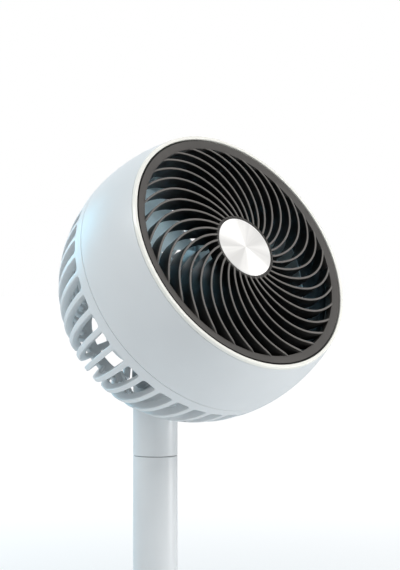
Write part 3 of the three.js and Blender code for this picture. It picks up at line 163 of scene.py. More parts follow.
# ---------------------------------------------------------------- finishes
class NodeTree:
    """A node tree, with short ways to add and join nodes."""

    def __init__(self, tree: bpy.types.NodeTree) -> None:
        """Keeps the tree.

        Args:
            tree: The tree that nodes are added to.
        """
        self.tree = tree

    def add(self, kind: str, **settings: object) -> bpy.types.Node:
        """Adds a node.

        Args:
            kind: The node's Blender type.
            **settings: Properties to set on it.

        Returns:
            The new node.
        """
        node = self.tree.nodes.new(kind)
        for key, value in settings.items():
            setattr(node, key, value)
        return node

    def link(self, source: bpy.types.NodeSocket, target: bpy.types.NodeSocket) -> None:
        """Joins two sockets."""
        self.tree.links.new(source, target)

    @staticmethod
    def fix(node: bpy.types.Node, values: dict[str, object]) -> None:
        """Sets a node's unlinked inputs.

        Args:
            node: The node.
            values: Each input's name and value.
        """
        for name, value in values.items():
            node.inputs[name].default_value = value


class NodeSheet(NodeTree):
    """A material's node tree, with one Principled shader."""

    FACTOR_LOW = 0.3  # noise seldom goes below this
    FACTOR_HIGH = 0.7  # or above this

    def __init__(self, name: str) -> None:
        """Starts a material.

        Args:
            name: The material's name.
        """
        self.material = bpy.data.materials.new(name)
        self.material.use_nodes = True
        super().__init__(self.material.node_tree)
        self.shader = self.tree.nodes["Principled BSDF"]
        self.coordinates = self.tree.nodes.new("ShaderNodeTexCoord")

    def drive(self, name: str, source: bpy.types.NodeSocket) -> None:
        """Joins a socket to one of the shader's inputs."""
        self.link(source, self.shader.inputs[name])

    def mapped(self, coordinates: str, stretch: Sequence[float]) -> bpy.types.NodeSocket:
        """Adds scaled coordinates.

        Args:
            coordinates: Object or UV.
            stretch: A scale along each axis.

        Returns:
            The vector socket.
        """
        mapping = self.add("ShaderNodeMapping")
        mapping.inputs["Scale"].default_value = stretch
        self.link(self.coordinates.outputs[coordinates], mapping.inputs["Vector"])
        return mapping.outputs["Vector"]

    def noise(
        self, size: float, detail: float, stretch: Sequence[float] = (1, 1, 1), flat: bool = False
    ) -> bpy.types.NodeSocket:
        """Adds noise.

        Args:
            size: How far apart its spots are, in metres or on the UV map.
            detail: How many finer layers it has.
            stretch: A scale along each axis, before the noise.
            flat: Whether it lies on the UV map, and not in the object's own space.

        Returns:
            The noise's factor socket.
        """
        texture = self.add("ShaderNodeTexNoise", noise_dimensions="2D" if flat else "3D")
        self.fix(texture, {"Scale": 1 / size, "Detail": detail})
        self.link(self.mapped("UV" if flat else "Object", stretch), texture.inputs["Vector"])
        return texture.outputs["Fac"]

    def ramp(
        self,
        factor: bpy.types.NodeSocket,
        low: Colour,
        high: Colour,
        start: float = FACTOR_LOW,
        end: float = FACTOR_HIGH,
    ) -> bpy.types.NodeSocket:
        """Turns a factor into a colour between two.

        Args:
            factor: The socket that chooses.
            low: The colour at start.
            high: The colour at end.
            start: The factor of the first colour.
            end: The factor of the second.

        Returns:
            The colour socket.
        """
        ramp = self.add("ShaderNodeValToRGB")
        first, second = ramp.color_ramp.elements
        first.position, second.position = start, end
        first.color, second.color = (*low, 1), (*high, 1)
        self.link(factor, ramp.inputs["Fac"])
        return ramp.outputs["Color"]

    def spread(self, factor: bpy.types.NodeSocket, low: float, high: float) -> bpy.types.NodeSocket:
        """Maps a noise's factor onto a range of values.

        Args:
            factor: The socket that chooses.
            low: The value at the low factor.
            high: The value at the high factor.

        Returns:
            The value socket.
        """
        node = self.add("ShaderNodeMapRange")
        self.fix(node, {"From Min": self.FACTOR_LOW, "From Max": self.FACTOR_HIGH})
        self.fix(node, {"To Min": low, "To Max": high})
        self.link(factor, node.inputs["Value"])
        return node.outputs["Result"]

    def tones(self, colour: Colour, darkest: float, lightest: float, size: float, detail: float) -> None:
        """Gives the shader a colour that noise makes darker and lighter.

        Args:
            colour: The colour.
            darkest: The darkest tone's share of it.
            lightest: The lightest tone's.
            size: How far apart the noise's spots are.
            detail: How many finer layers it has.
        """
        low, high = shade(colour, darkest), shade(colour, lightest)
        self.drive("Base Color", self.ramp(self.noise(size, detail), low, high))

    def gloss(
        self, factor: bpy.types.NodeSocket, roughness: float, smoothest: float, roughest: float
    ) -> None:
        """Gives the shader a roughness that a noise's factor moves.

        Args:
            factor: The socket that chooses.
            roughness: The roughness.
            smoothest: The smoothest spots' share of it.
            roughest: The roughest spots'.
        """
        self.drive("Roughness", self.spread(factor, roughness * smoothest, roughness * roughest))

    def bump(self, height: bpy.types.NodeSocket, depth: float) -> None:
        """Gives the shader a fine relief.

        Args:
            height: The socket with the relief.
            depth: Its depth in metres.
        """
        node = self.add("ShaderNodeBump")
        self.fix(node, {"Strength": 1.0, "Distance": depth})
        self.link(height, node.inputs["Height"])
        self.drive("Normal", node.outputs["Normal"])


def shade(colour: Colour, factor: float) -> Colour:
    """A colour made lighter or darker by a factor."""
    return tuple(min(1.0, channel * factor) for channel in colour)


@dataclass(frozen=True)
class Finish:
    """A surface that a piece can have."""

    colour: Colour

    def build(self, name: str) -> bpy.types.Material:
        """Makes the material.

        Args:
            name: The material's name.

        Returns:
            The material.
        """
        sheet = NodeSheet(name)
        self.draw(sheet)
        return sheet.material

    def draw(self, sheet: NodeSheet) -> None:
        """Sets up the shader, which each kind of finish does in its own way."""
        raise NotImplementedError


@dataclass(frozen=True)
class MouldedPlastic(Finish):
    """Injection-moulded plastic: a fine spark-eroded grain, faint flow clouds and a soft or high gloss."""

    roughness: float
    grain: float = 0.0004
    grain_depth: float = 0.000012
    clouds: float = 0.015
    coat: float = 0.0

    CLOUD_SIZE = 0.045
    SMEAR_SIZE = 0.012
    SMOOTHEST = 0.92  # shares of the roughness
    ROUGHEST = 1.1

    def draw(self, sheet: NodeSheet) -> None:
        """Sets up the shader.

        Args:
            sheet: The material's nodes.
        """
        sheet.tones(self.colour, 1 - self.clouds, 1 + self.clouds, self.CLOUD_SIZE, detail=2.0)
        sheet.gloss(sheet.noise(self.SMEAR_SIZE, detail=4.0), self.roughness, self.SMOOTHEST, self.ROUGHEST)
        sheet.bump(sheet.noise(self.grain, detail=2.0), self.grain_depth)
        sheet.fix(sheet.shader, {"IOR": 1.5, "Coat Weight": self.coat, "Coat Roughness": 0.08})


@dataclass(frozen=True)
class PaintedLightPlastic(Finish):
    """Dark moulded plastic with painted light: a piece's "edge" attribute gives the share of a lighter colour
    that is painted where light falls.
    """

    # The colour of the painted light.
    edge: Colour
    roughness: float

    GLOSS = 0.25
    CLOUD_SIZE = 0.02
    CLOUDS = 0.04  # how far they move the edge's share
    GRAIN = 0.0005
    GRAIN_DEPTH = 0.00001

    def draw(self, sheet: NodeSheet) -> None:
        """Sets up the shader.

        Args:
            sheet: The material's nodes.
        """
        # The attribute's share of painted light, moved a little at random by the clouds.
        edge = sheet.add("ShaderNodeAttribute", attribute_name=PAINTED_LIGHT_ATTRIBUTE)
        cloud = sheet.spread(sheet.noise(self.CLOUD_SIZE, detail=3.0), -self.CLOUDS, self.CLOUDS)
        tone = sheet.add("ShaderNodeMath", operation="ADD")
        sheet.link(edge.outputs["Fac"], tone.inputs[0])
        sheet.link(cloud, tone.inputs[1])
        colour = sheet.ramp(tone.outputs["Value"], self.colour, self.edge, start=0.0, end=1.0)
        sheet.drive("Base Color", colour)
        sheet.bump(sheet.noise(self.GRAIN, detail=2.0), self.GRAIN_DEPTH)
        sheet.fix(sheet.shader, {"Roughness": self.roughness, "Specular IOR Level": self.GLOSS})


@dataclass(frozen=True)
class GroundMetal(Finish):
    """Turned, plated or cast metal with fine lines or grains."""

    roughness: float
    grain: float = 0.0006
    stretch: tuple[float, float, float] = (1, 1, 1)
    depth: float = 0.00001

    TONE_SIZE = 0.008
    DARKEST = 0.9  # shares of the colour
    LIGHTEST = 1.06
    SMOOTHEST = 0.8  # and of the roughness
    ROUGHEST = 1.25

    def draw(self, sheet: NodeSheet) -> None:
        """Sets up the shader.

        Args:
            sheet: The material's nodes.
        """
        sheet.tones(self.colour, self.DARKEST, self.LIGHTEST, self.TONE_SIZE, detail=3.0)
        lines = sheet.noise(self.grain, detail=2.0, stretch=self.stretch)
        sheet.gloss(lines, self.roughness, self.SMOOTHEST, self.ROUGHEST)
        sheet.bump(lines, self.depth)
        sheet.fix(sheet.shader, {"Metallic": 1.0})


@dataclass(frozen=True)
class SpunDisc(Finish):
    """Aluminium spun on a lathe: circular lines that draw the light out into rays from the centre, with rays
    of painted highlight and painted shade in its colour.

    It needs a polar UV map, with the turn in U and the radius in V.
    """

    roughness: float

    # The colour carries rays of painted highlight and painted shade:
    PAINTED_RAYS = (9.0, 0.15, 1)  # how often the tones change round the disc and along its radius
    LINES = (1.5, 46.0, 1)
    LINE_SIZE = 0.2
    LINE_DEPTH = 0.000012
    DARKEST = 0.84
    DARK_UP_TO = 0.36  # factors of the rays' noise
    LIGHT_FROM = 0.6
    ANISOTROPY = 0.75

    def draw(self, sheet: NodeSheet) -> None:
        """Sets up the shader.

        Args:
            sheet: The material's nodes.
        """
        # Rays of painted highlight and painted shade round the disc.
        rays = sheet.noise(1.0, detail=3.0, stretch=self.PAINTED_RAYS, flat=True)
        dark = shade(self.colour, self.DARKEST)
        sheet.drive("Base Color", sheet.ramp(rays, dark, self.colour, self.DARK_UP_TO, self.LIGHT_FROM))
        lines = sheet.noise(self.LINE_SIZE, detail=4.0, stretch=self.LINES, flat=True)
        sheet.bump(lines, self.LINE_DEPTH)
        tangent = sheet.add("ShaderNodeTangent", direction_type="UV_MAP")
        sheet.drive("Tangent", tangent.outputs["Tangent"])
        sheet.fix(sheet.shader, {"Metallic": 1.0, "Roughness": self.roughness})
        sheet.fix(sheet.shader, {"Anisotropic": self.ANISOTROPY})


@dataclass(frozen=True)
class SmokedPlastic(Finish):
    """Tinted clear plastic of the blades: what lies behind them shows as a soft smoky blue."""

    roughness: float

    CLEARNESS = 0.92
    CLOUD_SIZE = 0.03
    DARKEST = 0.8  # shares of the colour
    LIGHTEST = 1.25
    SMEAR_SIZE = 0.006
    ROUGHEST = 1.2
    GRAIN = 0.002
    GRAIN_DEPTH = 0.000006

    def draw(self, sheet: NodeSheet) -> None:
        """Sets up the shader.

        Args:
            sheet: The material's nodes.
        """
        sheet.tones(self.colour, self.DARKEST, self.LIGHTEST, self.CLOUD_SIZE, detail=2.0)
        sheet.gloss(sheet.noise(self.SMEAR_SIZE, detail=3.0), self.roughness, 1.0, self.ROUGHEST)
        sheet.bump(sheet.noise(self.GRAIN, detail=2.0), self.GRAIN_DEPTH)
        sheet.fix(sheet.shader, {"Transmission Weight": self.CLEARNESS, "IOR": 1.3})


@dataclass(frozen=True)
class CastRubber(Finish):
    """Matt rubber with a fine dusty grain."""

    DUST_SIZE = 0.01
    DUSTIEST = 1.5  # share of the colour
    GRAIN = 0.0007
    GRAIN_DEPTH = 0.00004

    def draw(self, sheet: NodeSheet) -> None:
        """Sets up the shader.

        Args:
            sheet: The material's nodes.
        """
        sheet.tones(self.colour, 1.0, self.DUSTIEST, self.DUST_SIZE, detail=5.0)
        sheet.bump(sheet.noise(self.GRAIN, detail=3.0), self.GRAIN_DEPTH)
        sheet.fix(sheet.shader, {"Roughness": 0.85})


@dataclass(frozen=True)
class WoundCopper(Finish):
    """Enamelled wire lying side by side round the winding, with painted shade in the creases between the
    wires.
    """

    WIRE = 0.0006
    WAVES_PER_SCALE = 20  # bands that a wave texture of scale 1 has in a metre
    DARKEST = 0.5
    DEPTH = 0.0002

    def draw(self, sheet: NodeSheet) -> None:
        """Sets up the shader.

        Args:
            sheet: The material's nodes.
        """
        wave = sheet.add("ShaderNodeTexWave", wave_type="BANDS", bands_direction="DIAGONAL")
        sheet.fix(wave, {"Scale": 1 / (self.WIRE * self.WAVES_PER_SCALE), "Distortion": 1.5})
        sheet.link(sheet.coordinates.outputs["Object"], wave.inputs["Vector"])
        # The darker tone is painted shade between neighbouring wires.
        dark = shade(self.colour, self.DARKEST)
        sheet.drive("Base Color", sheet.ramp(wave.outputs["Fac"], dark, self.colour, start=0.1, end=0.8))
        sheet.bump(wave.outputs["Fac"], self.DEPTH)
        sheet.fix(sheet.shader, {"Metallic": 0.9, "Roughness": 0.35})


FINISHES: dict[Look, Finish] = {
    Look.RUBBER: CastRubber((0.02, 0.02, 0.022)),
    Look.BLACK_PLASTIC: MouldedPlastic((0.018, 0.018, 0.02), 0.45, grain_depth=0.00003),
    Look.CAST_IRON: GroundMetal((0.09, 0.09, 0.095), 0.6, grain=0.0015, depth=0.0001),
    Look.SHELL_WHITE: MouldedPlastic((0.785, 0.81, 0.825), 0.34),
    Look.TRIM_WHITE: MouldedPlastic((0.98, 0.97, 0.905), 0.16, grain_depth=0.000003, coat=0.5),
    # Dark blue plastic; the light grey is painted light on the duct's outside, for a lit inside of the head.
    Look.DUCT_BLUE: PaintedLightPlastic((0.018, 0.032, 0.042), (0.70, 0.70, 0.71), 0.5),
    # Near black for the painted shade of the fins' sides, with the colour of the painted highlight on their
    # front edges, the ring and the hub's rim.
    Look.GRILLE_GREY: PaintedLightPlastic((0.004, 0.004, 0.004), (0.162, 0.151, 0.141), 0.4),
    Look.SMOKED_BLUE: SmokedPlastic((0.52, 0.64, 0.68), 0.3),
    Look.SPUN_METAL: SpunDisc((0.90, 0.89, 0.87), 0.3),
    Look.STEEL: GroundMetal((0.56, 0.57, 0.58), 0.28, stretch=(0.1, 1, 1)),
    Look.ZINC_STEEL: GroundMetal((0.46, 0.48, 0.50), 0.4),
    Look.DIE_CAST: GroundMetal((0.42, 0.43, 0.45), 0.55, grain=0.0012, depth=0.00005),
    Look.COPPER: WoundCopper((0.62, 0.26, 0.12)),
    Look.BRASS: GroundMetal((0.62, 0.46, 0.2), 0.32),
    Look.INNER_GREY: MouldedPlastic((0.56, 0.56, 0.57), 0.5, grain_depth=0.00003),
    Look.BOARD_GREEN: MouldedPlastic((0.02, 0.12, 0.06), 0.35),
    Look.PANEL_BLACK: MouldedPlastic((0.008, 0.008, 0.010), 0.42, grain_depth=0.000002),
    Look.KEY_WHITE: MouldedPlastic((0.78, 0.79, 0.80), 0.25, grain_depth=0.000005),
}


# ---------------------------------------------------------------- outlines and meshes
def steps(first: float, last: float, count: int) -> list[float]:
    """Count + 1 even values from first to last."""
    return [first + (last - first) * i / count for i in range(count + 1)]


def box_of(left: float, right: float, low: float, high: float) -> list[Point]:
    """The corners of a rectangle."""
    return [(left, low), (right, low), (right, high), (left, high)]


def rounded(outline: Sequence[Point], radius: float, closed: bool = True, arc: int = 4) -> list[Point]:
    """Rounds the sharp corners of an outline.

    Args:
        outline: Its corners in order.
        radius: The rounding's radius, less where an edge is short.
        closed: Whether the last corner joins the first.
        arc: How many chords a rounding has.

    Returns:
        The new outline. Corners that hardly turn stay.
    """
    straight = math.radians(20)
    most = 0.45  # of an edge
    result: list[Point] = []
    count = len(outline)
    for i, corner in enumerate(outline):
        if not closed and i in (0, count - 1):
            result.append(corner)
            continue
        here = Vector(corner)
        back = Vector(outline[i - 1]) - here
        ahead = Vector(outline[(i + 1) % count]) - here
        shorter = min(back.length, ahead.length)
        turn = math.pi - back.angle(ahead) if shorter >= SAME_SPOT else 0.0
        if turn < straight:
            result.append(corner)
            continue
        reach = min(radius * math.tan(turn / 2), most * back.length, most * ahead.length)
        start = here + back.normalized() * reach
        end = here + ahead.normalized() * reach
        for t in steps(0, 1, arc):
            point = start * (1 - t) ** 2 + here * (2 * t * (1 - t)) + end * t**2
            result.append((point.x, point.y))
    return result


def to_mesh(name: str, model: bmesh.types.BMesh) -> bpy.types.Mesh:
    """Closes a bmesh into a mesh with its faces outwards.

    Args:
        name: The mesh's name.
        model: The bmesh, which is freed.

    Returns:
        The mesh.
    """
    bmesh.ops.remove_doubles(model, verts=model.verts, dist=SAME_SPOT)
    bmesh.ops.dissolve_degenerate(model, edges=model.edges, dist=SAME_SPOT)
    bmesh.ops.recalc_face_normals(model, faces=model.faces)
    mesh = bpy.data.meshes.new(name)
    model.to_mesh(mesh)
    model.free()
    return mesh


def turned(
    name: str, profile: Sequence[Point], place: Matrix, sides: int, rounding: float = 0.0
) -> bpy.types.Mesh:
    """Turns a profile round its Z axis.

    Args:
        name: The mesh's name.
        profile: Points of radius and height. It closes on itself, or starts and ends on the axis.
        place: Where the turned shape's own frame stands in the fan.
        sides: How many facets go round.
        rounding: The radius of its edges.

    Returns:
        The mesh.
    """
    on_axis = profile[0][0] == 0 and profile[-1][0] == 0
    line = rounded(profile, rounding, closed=not on_axis) if rounding else list(profile)
    directions = [(math.cos(TAU * i / sides), math.sin(TAU * i / sides)) for i in range(sides)]
    model = bmesh.new()
    rings: list[list[bmesh.types.BMVert]] = []
    for radius, height in line:
        if radius < ON_AXIS:
            rings.append([model.verts.new(place @ Vector((0, 0, height)))] * sides)
            continue
        spots = [place @ Vector((radius * x, radius * y, height)) for x, y in directions]
        rings.append([model.verts.new(spot) for spot in spots])
    last = len(rings) - 1 if on_axis else len(rings)
    for j in range(last):
        lower, upper = rings[j], rings[(j + 1) % len(rings)]
        for i in range(sides):
            k = (i + 1) % sides
            corners = list(dict.fromkeys((lower[i], lower[k], upper[k], upper[i])))
            if len(corners) > 2:
                model.faces.new(corners)
    return to_mesh(name, model)


def lofted(name: str, loops: Sequence[Sequence[Vector]], place: Matrix, bent: bool = False) -> bpy.types.Mesh:
    """Stretches a closed skin over loops of points and caps both ends.

    Args:
        name: The mesh's name.
        loops: The loops in order, each with the same count of points.
        place: Where their frame stands in the fan.
        bent: Whether the end loops are long sections that run there and back along a curved surface.

    Returns:
        The mesh.
    """
    model = bmesh.new()
    rows = [[model.verts.new(place @ point) for point in loop] for loop in loops]
    count = len(rows[0])
    for lower, upper in zip(rows, rows[1:]):
        for i in range(count):
            k = (i + 1) % count
            model.faces.new((lower[i], lower[k], upper[k], upper[i]))
    for row in (rows[0], rows[-1]):
        if not bent:
            model.faces.new(row)
            continue
        for i in range((count - 1) // 2):
            corners = dict.fromkeys((row[i], row[i + 1], row[count - 2 - i], row[count - 1 - i]))
            model.faces.new(list(corners))
    return to_mesh(name, model)


def smooth_curve(stations: Sequence[tuple[float, ...]], spot: float) -> list[float]:
    """Reads a smooth curve through stations.

    Args:
        stations: Rows in order whose first column is the place and whose others are values there.
        spot: The place to read. Outside the stations the end values hold.

    Returns:
        The values at that place.
    """
    last = len(stations) - 1
    spot = min(max(spot, stations[0][0]), stations[last][0])
    i = next((k for k in range(last) if spot <= stations[k + 1][0]), last - 1)
    start, end = stations[i], stations[i + 1]
    span = end[0] - start[0]
    t = (spot - start[0]) / span
    values = []
    for column in range(1, len(start)):
        slopes = []
        for k in (i, i + 1):
            before, after = stations[max(k - 1, 0)], stations[min(k + 1, last)]
            slopes.append((after[column] - before[column]) / (after[0] - before[0]))
        rise = end[column] - start[column]
        bow = (slopes[0] * span - rise) * (1 - t) - (slopes[1] * span - rise) * t
        values.append(start[column] + rise * t + t * (1 - t) * bow)
    return values


def extruded(name: str, outline: Sequence[Point], low: float, high: float, place: Matrix) -> bpy.types.Mesh:
    """Pushes a flat outline up along Z.

    Args:
        name: The mesh's name.
        outline: Its corners in order.
        low: The height of its foot.
        high: The height of its top.
        place: Where its frame stands in the fan.

    Returns:
        The mesh.
    """
    loops = [[Vector((x, y, z)) for x, y in outline] for z in (low, high)]
    return lofted(name, loops, place)


def stadium(length: float, width: float, arc: int = 12) -> list[Point]:
    """Draws a bar with round ends, its length along X.

    Args:
        length: Its whole length.
        width: Its width.
        arc: How many chords each end has.

    Returns:
        The outline.
    """
    half, radius = (length - width) / 2, width / 2
    turns = steps(-math.pi / 2, math.pi / 2, arc)
    right = [(half + radius * math.cos(a), radius * math.sin(a)) for a in turns]
    return right + [(-x, -y) for x, y in right]


def joined(name: str, meshes: Iterable[bpy.types.Mesh]) -> bpy.types.Mesh:
    """Puts several meshes in one, each staying a closed solid of its own.

    Args:
        name: The new mesh's name.
        meshes: The meshes, which are used up.

    Returns:
        The new mesh.
    """
    model = bmesh.new()
    for mesh in meshes:
        model.from_mesh(mesh)
        bpy.data.meshes.remove(mesh)
    result = bpy.data.meshes.new(name)
    model.to_mesh(result)
    model.free()
    return result


def placed(name: str, data: bpy.types.ID) -> bpy.types.Object:
    """Adds an object to the scene.

    Args:
        name: Its name.
        data: Its mesh, lamp or camera.

    Returns:
        The object.
    """
    thing = bpy.data.objects.new(name, data)
    bpy.context.scene.collection.objects.link(thing)
    return thing


def discard(thing: bpy.types.Object) -> None:
    """Removes an object and its mesh.

    Args:
        thing: The object.
    """
    mesh = thing.data
    bpy.data.objects.remove(thing)
    bpy.data.meshes.remove(mesh)


def baked(work: bpy.types.Object) -> bpy.types.Mesh:
    """Turns an object with modifiers into a plain mesh.

    Args:
        work: The object, which is removed.

    Returns:
        The mesh.
    """
    name = work.name
    view = bpy.context.evaluated_depsgraph_get()
    view.update()
    mesh = bpy.data.meshes.new_from_object(work.evaluated_get(view))
    discard(work)
    mesh.name = name
    return mesh


def cut(name: str, body: bpy.types.Mesh, *tools: bpy.types.Mesh) -> bpy.types.Mesh:
    """Cuts tools out of a solid.

    Args:
        name: The new mesh's name.
        body: The solid, which is used up.
        *tools: The solids that cut it, used up too.

    Returns:
        The new mesh.
    """
    work = placed(name, body)
    helpers = [placed("tool", tool) for tool in tools]
    for helper in helpers:
        step = work.modifiers.new("cut", "BOOLEAN")
        step.operation, step.solver, step.object = "DIFFERENCE", "EXACT", helper
    mesh = baked(work)
    for helper in helpers:
        discard(helper)
    return mesh


def softened(mesh: bpy.types.Mesh, width: float) -> bpy.types.Mesh:
    """Bevels the sharp edges of a mesh made of flat faces.

    Args:
        mesh: The mesh, which is changed.
        width: The bevel's width.

    Returns:
        The same mesh.
    """
    flat, sharp = math.radians(1), math.radians(32)
    model = bmesh.new()
    model.from_mesh(mesh)
    bmesh.ops.remove_doubles(model, verts=model.verts, dist=TINY)
    bmesh.ops.dissolve_limit(model, angle_limit=flat, verts=model.verts, edges=model.edges)
    edges = [edge for edge in model.edges if edge.is_manifold and edge.calc_face_angle(0) > sharp]
    bevel = {"segments": 2, "profile": 0.5, "affect": "EDGES", "clamp_overlap": True}
    bmesh.ops.bevel(model, geom=edges, offset=width, **bevel)
    bmesh.ops.recalc_face_normals(model, faces=model.faces)
    model.to_mesh(mesh)
    model.free()
    return mesh


# ---------------------------------------------------------------- copies round an axis
class CopyRing:
    """A Geometry Nodes tree that sets copies of a piece evenly round an axis."""

    KINDS = {"Count": "Int", "Axis": "Vector", "Centre": "Vector", "Start": "Float", "Finish": "Material"}

    def __init__(self) -> None:
        """Builds the tree and keeps its sockets' identifiers."""
        self.tree = bpy.data.node_groups.new("copies_round_axis", "GeometryNodeTree")
        face = self.tree.interface
        face.new_socket("Geometry", in_out="INPUT", socket_type="NodeSocketGeometry")
        self.sockets = {
            name: face.new_socket(name, in_out="INPUT", socket_type=f"NodeSocket{kind}").identifier
            for name, kind in self.KINDS.items()
        }
        face.new_socket("Geometry", in_out="OUTPUT", socket_type="NodeSocketGeometry")
        self._wire()

    def _wire(self) -> None:
        """Adds and joins the nodes: points, instances, a turn for each, then one plain mesh."""
        add = NodeTree(self.tree).add
        given, result = add("NodeGroupInput"), add("NodeGroupOutput")
        points, copies = add("GeometryNodePoints"), add("GeometryNodeInstanceOnPoints")
        index, share = add("GeometryNodeInputIndex"), add("ShaderNodeMath", operation="DIVIDE")
        angle = add("ShaderNodeMath", operation="MULTIPLY_ADD")
        angle.inputs[1].default_value = TAU
        turn, rotate = add("FunctionNodeAxisAngleToRotation"), add("GeometryNodeRotateInstances")
        rotate.inputs["Local Space"].default_value = False
        plain, dress = add("GeometryNodeRealizeInstances"), add("GeometryNodeSetMaterial")
        wires = (
            (given, "Count", points, "Count"),
            (points, "Points", copies, "Points"),
            (given, "Geometry", copies, "Instance"),
            (index, "Index", share, 0),
            (given, "Count", share, 1),
            (share, "Value", angle, 0),
            (given, "Start", angle, 2),
            (given, "Axis", turn, "Axis"),
            (angle, "Value", turn, "Angle"),
            (copies, "Instances", rotate, "Instances"),
            (turn, "Rotation", rotate, "Rotation"),
            (given, "Centre", rotate, "Pivot Point"),
            (rotate, "Instances", plain, "Geometry"),
            (plain, "Geometry", dress, "Geometry"),
            (given, "Finish", dress, "Material"),
            (dress, "Geometry", result, "Geometry"),
        )
        for source, output, target, entry in wires:
            self.tree.links.new(source.outputs[output], target.inputs[entry])

    def around(
        self, mesh: bpy.types.Mesh, count: int, place: Matrix, finish: bpy.types.Material, start: float = 0.0
    ) -> bpy.types.Mesh:
        """Repeats a mesh round a placement's Z axis.

        Args:
            mesh: The piece to repeat, which is used up.
            count: How many copies go round.
            place: The placement whose Z axis they go round.
            finish: The material they get.
            start: The first copy's turn, in radians.

        Returns:
            One mesh with all the copies.
        """
        work = placed(mesh.name, mesh)
        copies = work.modifiers.new("copies", "NODES")
        copies.node_group = self.tree
        axis, centre = tuple(place.col[2].xyz), tuple(place.translation)
        for name, value in zip(self.KINDS, (count, axis, centre, start, finish)):
            copies[self.sockets[name]] = value
        return baked(work)


# ---------------------------------------------------------------- the workshop
class Workshop:
    """Turns finished meshes into pieces of the fan."""

    SHARP = math.radians(35)  # past this angle an edge stays sharp

    def __init__(self, frame: dict) -> None:
        """Makes the finishes and finds where the head stands.
        """
        self.frame = frame
        self.finishes = {look: finish.build(look.value) for look, finish in FINISHES.items()}
        self.ring = CopyRing()
        self.joints = {joint["name"]: joint for joint in frame["joints"]}
        self.head = self._head_placement()
        self.floor = Matrix.Identity(4)

    def _head_placement(self) -> Matrix:
        """Finds the head's own frame at rest.

        Returns:
            A placement with its origin on the grille ring's face and Z the way the fan blows.
        """
        spin = self.joints["spin"]
        forward = Vector(spin["axis"]).normalized()
        across = Vector((1, 0, 0))
        upward = forward.cross(across)
        turn = Matrix((across, upward, forward)).transposed().to_4x4()
        return Matrix.Translation(Vector(spin["pos_m"])) @ turn

    @staticmethod
    def across(centre: Vector) -> Matrix:
        """A placement at a point of the fan whose Z axis runs along the fan's X."""
        return Matrix.Translation(centre) @ Matrix.Rotation(math.pi / 2, 4, "Y")

    def piece(self, name: str, mesh: bpy.types.Mesh, look: Look, body: Body, *nodes: str) -> bpy.types.Object:
        """Adds a finished mesh to the fan.

        Args:
            name: The piece's name.
            mesh: Its mesh, in the fan's frame.
            look: Its finish.
            body: The body it rides on.
            *nodes: The solids that it stands for.

        Returns:
            The piece's object.
        """
        mesh.name = name
        mesh.materials.clear()
        mesh.materials.append(self.finishes[look])
        mesh.shade_smooth()
        mesh.set_sharp_from_angle(angle=self.SHARP)
        piece = placed(name, mesh)
        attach(piece, body.value)
        if nodes:
            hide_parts(*nodes)
        LOG.info("%s: %d faces, on %s, for %s", name, len(mesh.polygons), body.value, nodes or "itself")
        return piece

    def refined(self, node: str, look: Look, body: Body, width: float = ROUNDING) -> bpy.types.Object:
        """Replaces a flat-sided solid by a copy of it with softened edges.

        Args:
            node: The solid's name.
            look: Its finish.
            body: The body it rides on.
            width: The bevel's width.

        Returns:
            The piece's object.
        """
        mesh = self.frame["nodes"][node].data.copy()
        return self.piece(f"{node}_dressed", softened(mesh, width), look, body, node)

    def paint_light(self, mesh: bpy.types.Mesh, light: Callable[[float, float], float]) -> None:
        """Writes where a mesh shows its finish's lighter colour, which is painted light.

        Args:
            mesh: The mesh, in the fan's frame.
            light: Gives the share of that painted light from a radius and height in the head's frame.
        """
        inverse = self.head.inverted()
        edge = mesh.attributes.new(PAINTED_LIGHT_ATTRIBUTE, "FLOAT", "POINT")
        for vertex in mesh.vertices:
            spot = inverse @ vertex.co
            share = light(math.hypot(spot.x, spot.y), spot.z)
            edge.data[vertex.index].value = min(1.0, max(0.0, share))

    def dress_solids(self) -> None:
        """Gives every solid the finish of its slot, for those that stay as they are."""
        for entry in self.frame["record"]["subparts"]:
            solid = self.frame["nodes"][entry["node"]]
            solid.data.materials.clear()
            solid.data.materials.append(self.finishes[Look(entry["material_slot"])])


# ---------------------------------------------------------------- the head
@dataclass(frozen=True)
class Assembly:
    """A group of pieces that are built together in a workshop."""

    shop: Workshop

    def build(self) -> None:
        """Makes the pieces, which each group does in its own way."""
        raise NotImplementedError


@dataclass(frozen=True)
class Ball:
    """The head's outer line: two half ellipses that meet at its widest part."""

    radius: float = 0.12488
    widest_back: float = 0.057
    front_length: float = 0.148
    rear_length: float = 0.138

    def length(self, back: float) -> float:
        """How long the half ellipse is that a distance behind the grille ring's face falls on."""
        return self.front_length if back < self.widest_back else self.rear_length

    def at(self, back: float) -> float:
        """The radius at a distance behind the grille ring's face."""
        return self.radius * math.sqrt(1 - ((back - self.widest_back) / self.length(back)) ** 2)

    def line(self, start: float, end: float, count: int, inward: float = 0.0) -> list[Point]:
        """Points of the line between two distances, moved inwards."""
        return [(self.at(back) - inward, -back) for back in steps(start, end, count)]

    def normal(self, back: float) -> Vector:
        """The outward direction of radius and height at a distance."""
        along = -(back - self.widest_back) / self.length(back) ** 2
        return Vector((self.at(back) / self.radius**2, along)).normalized()


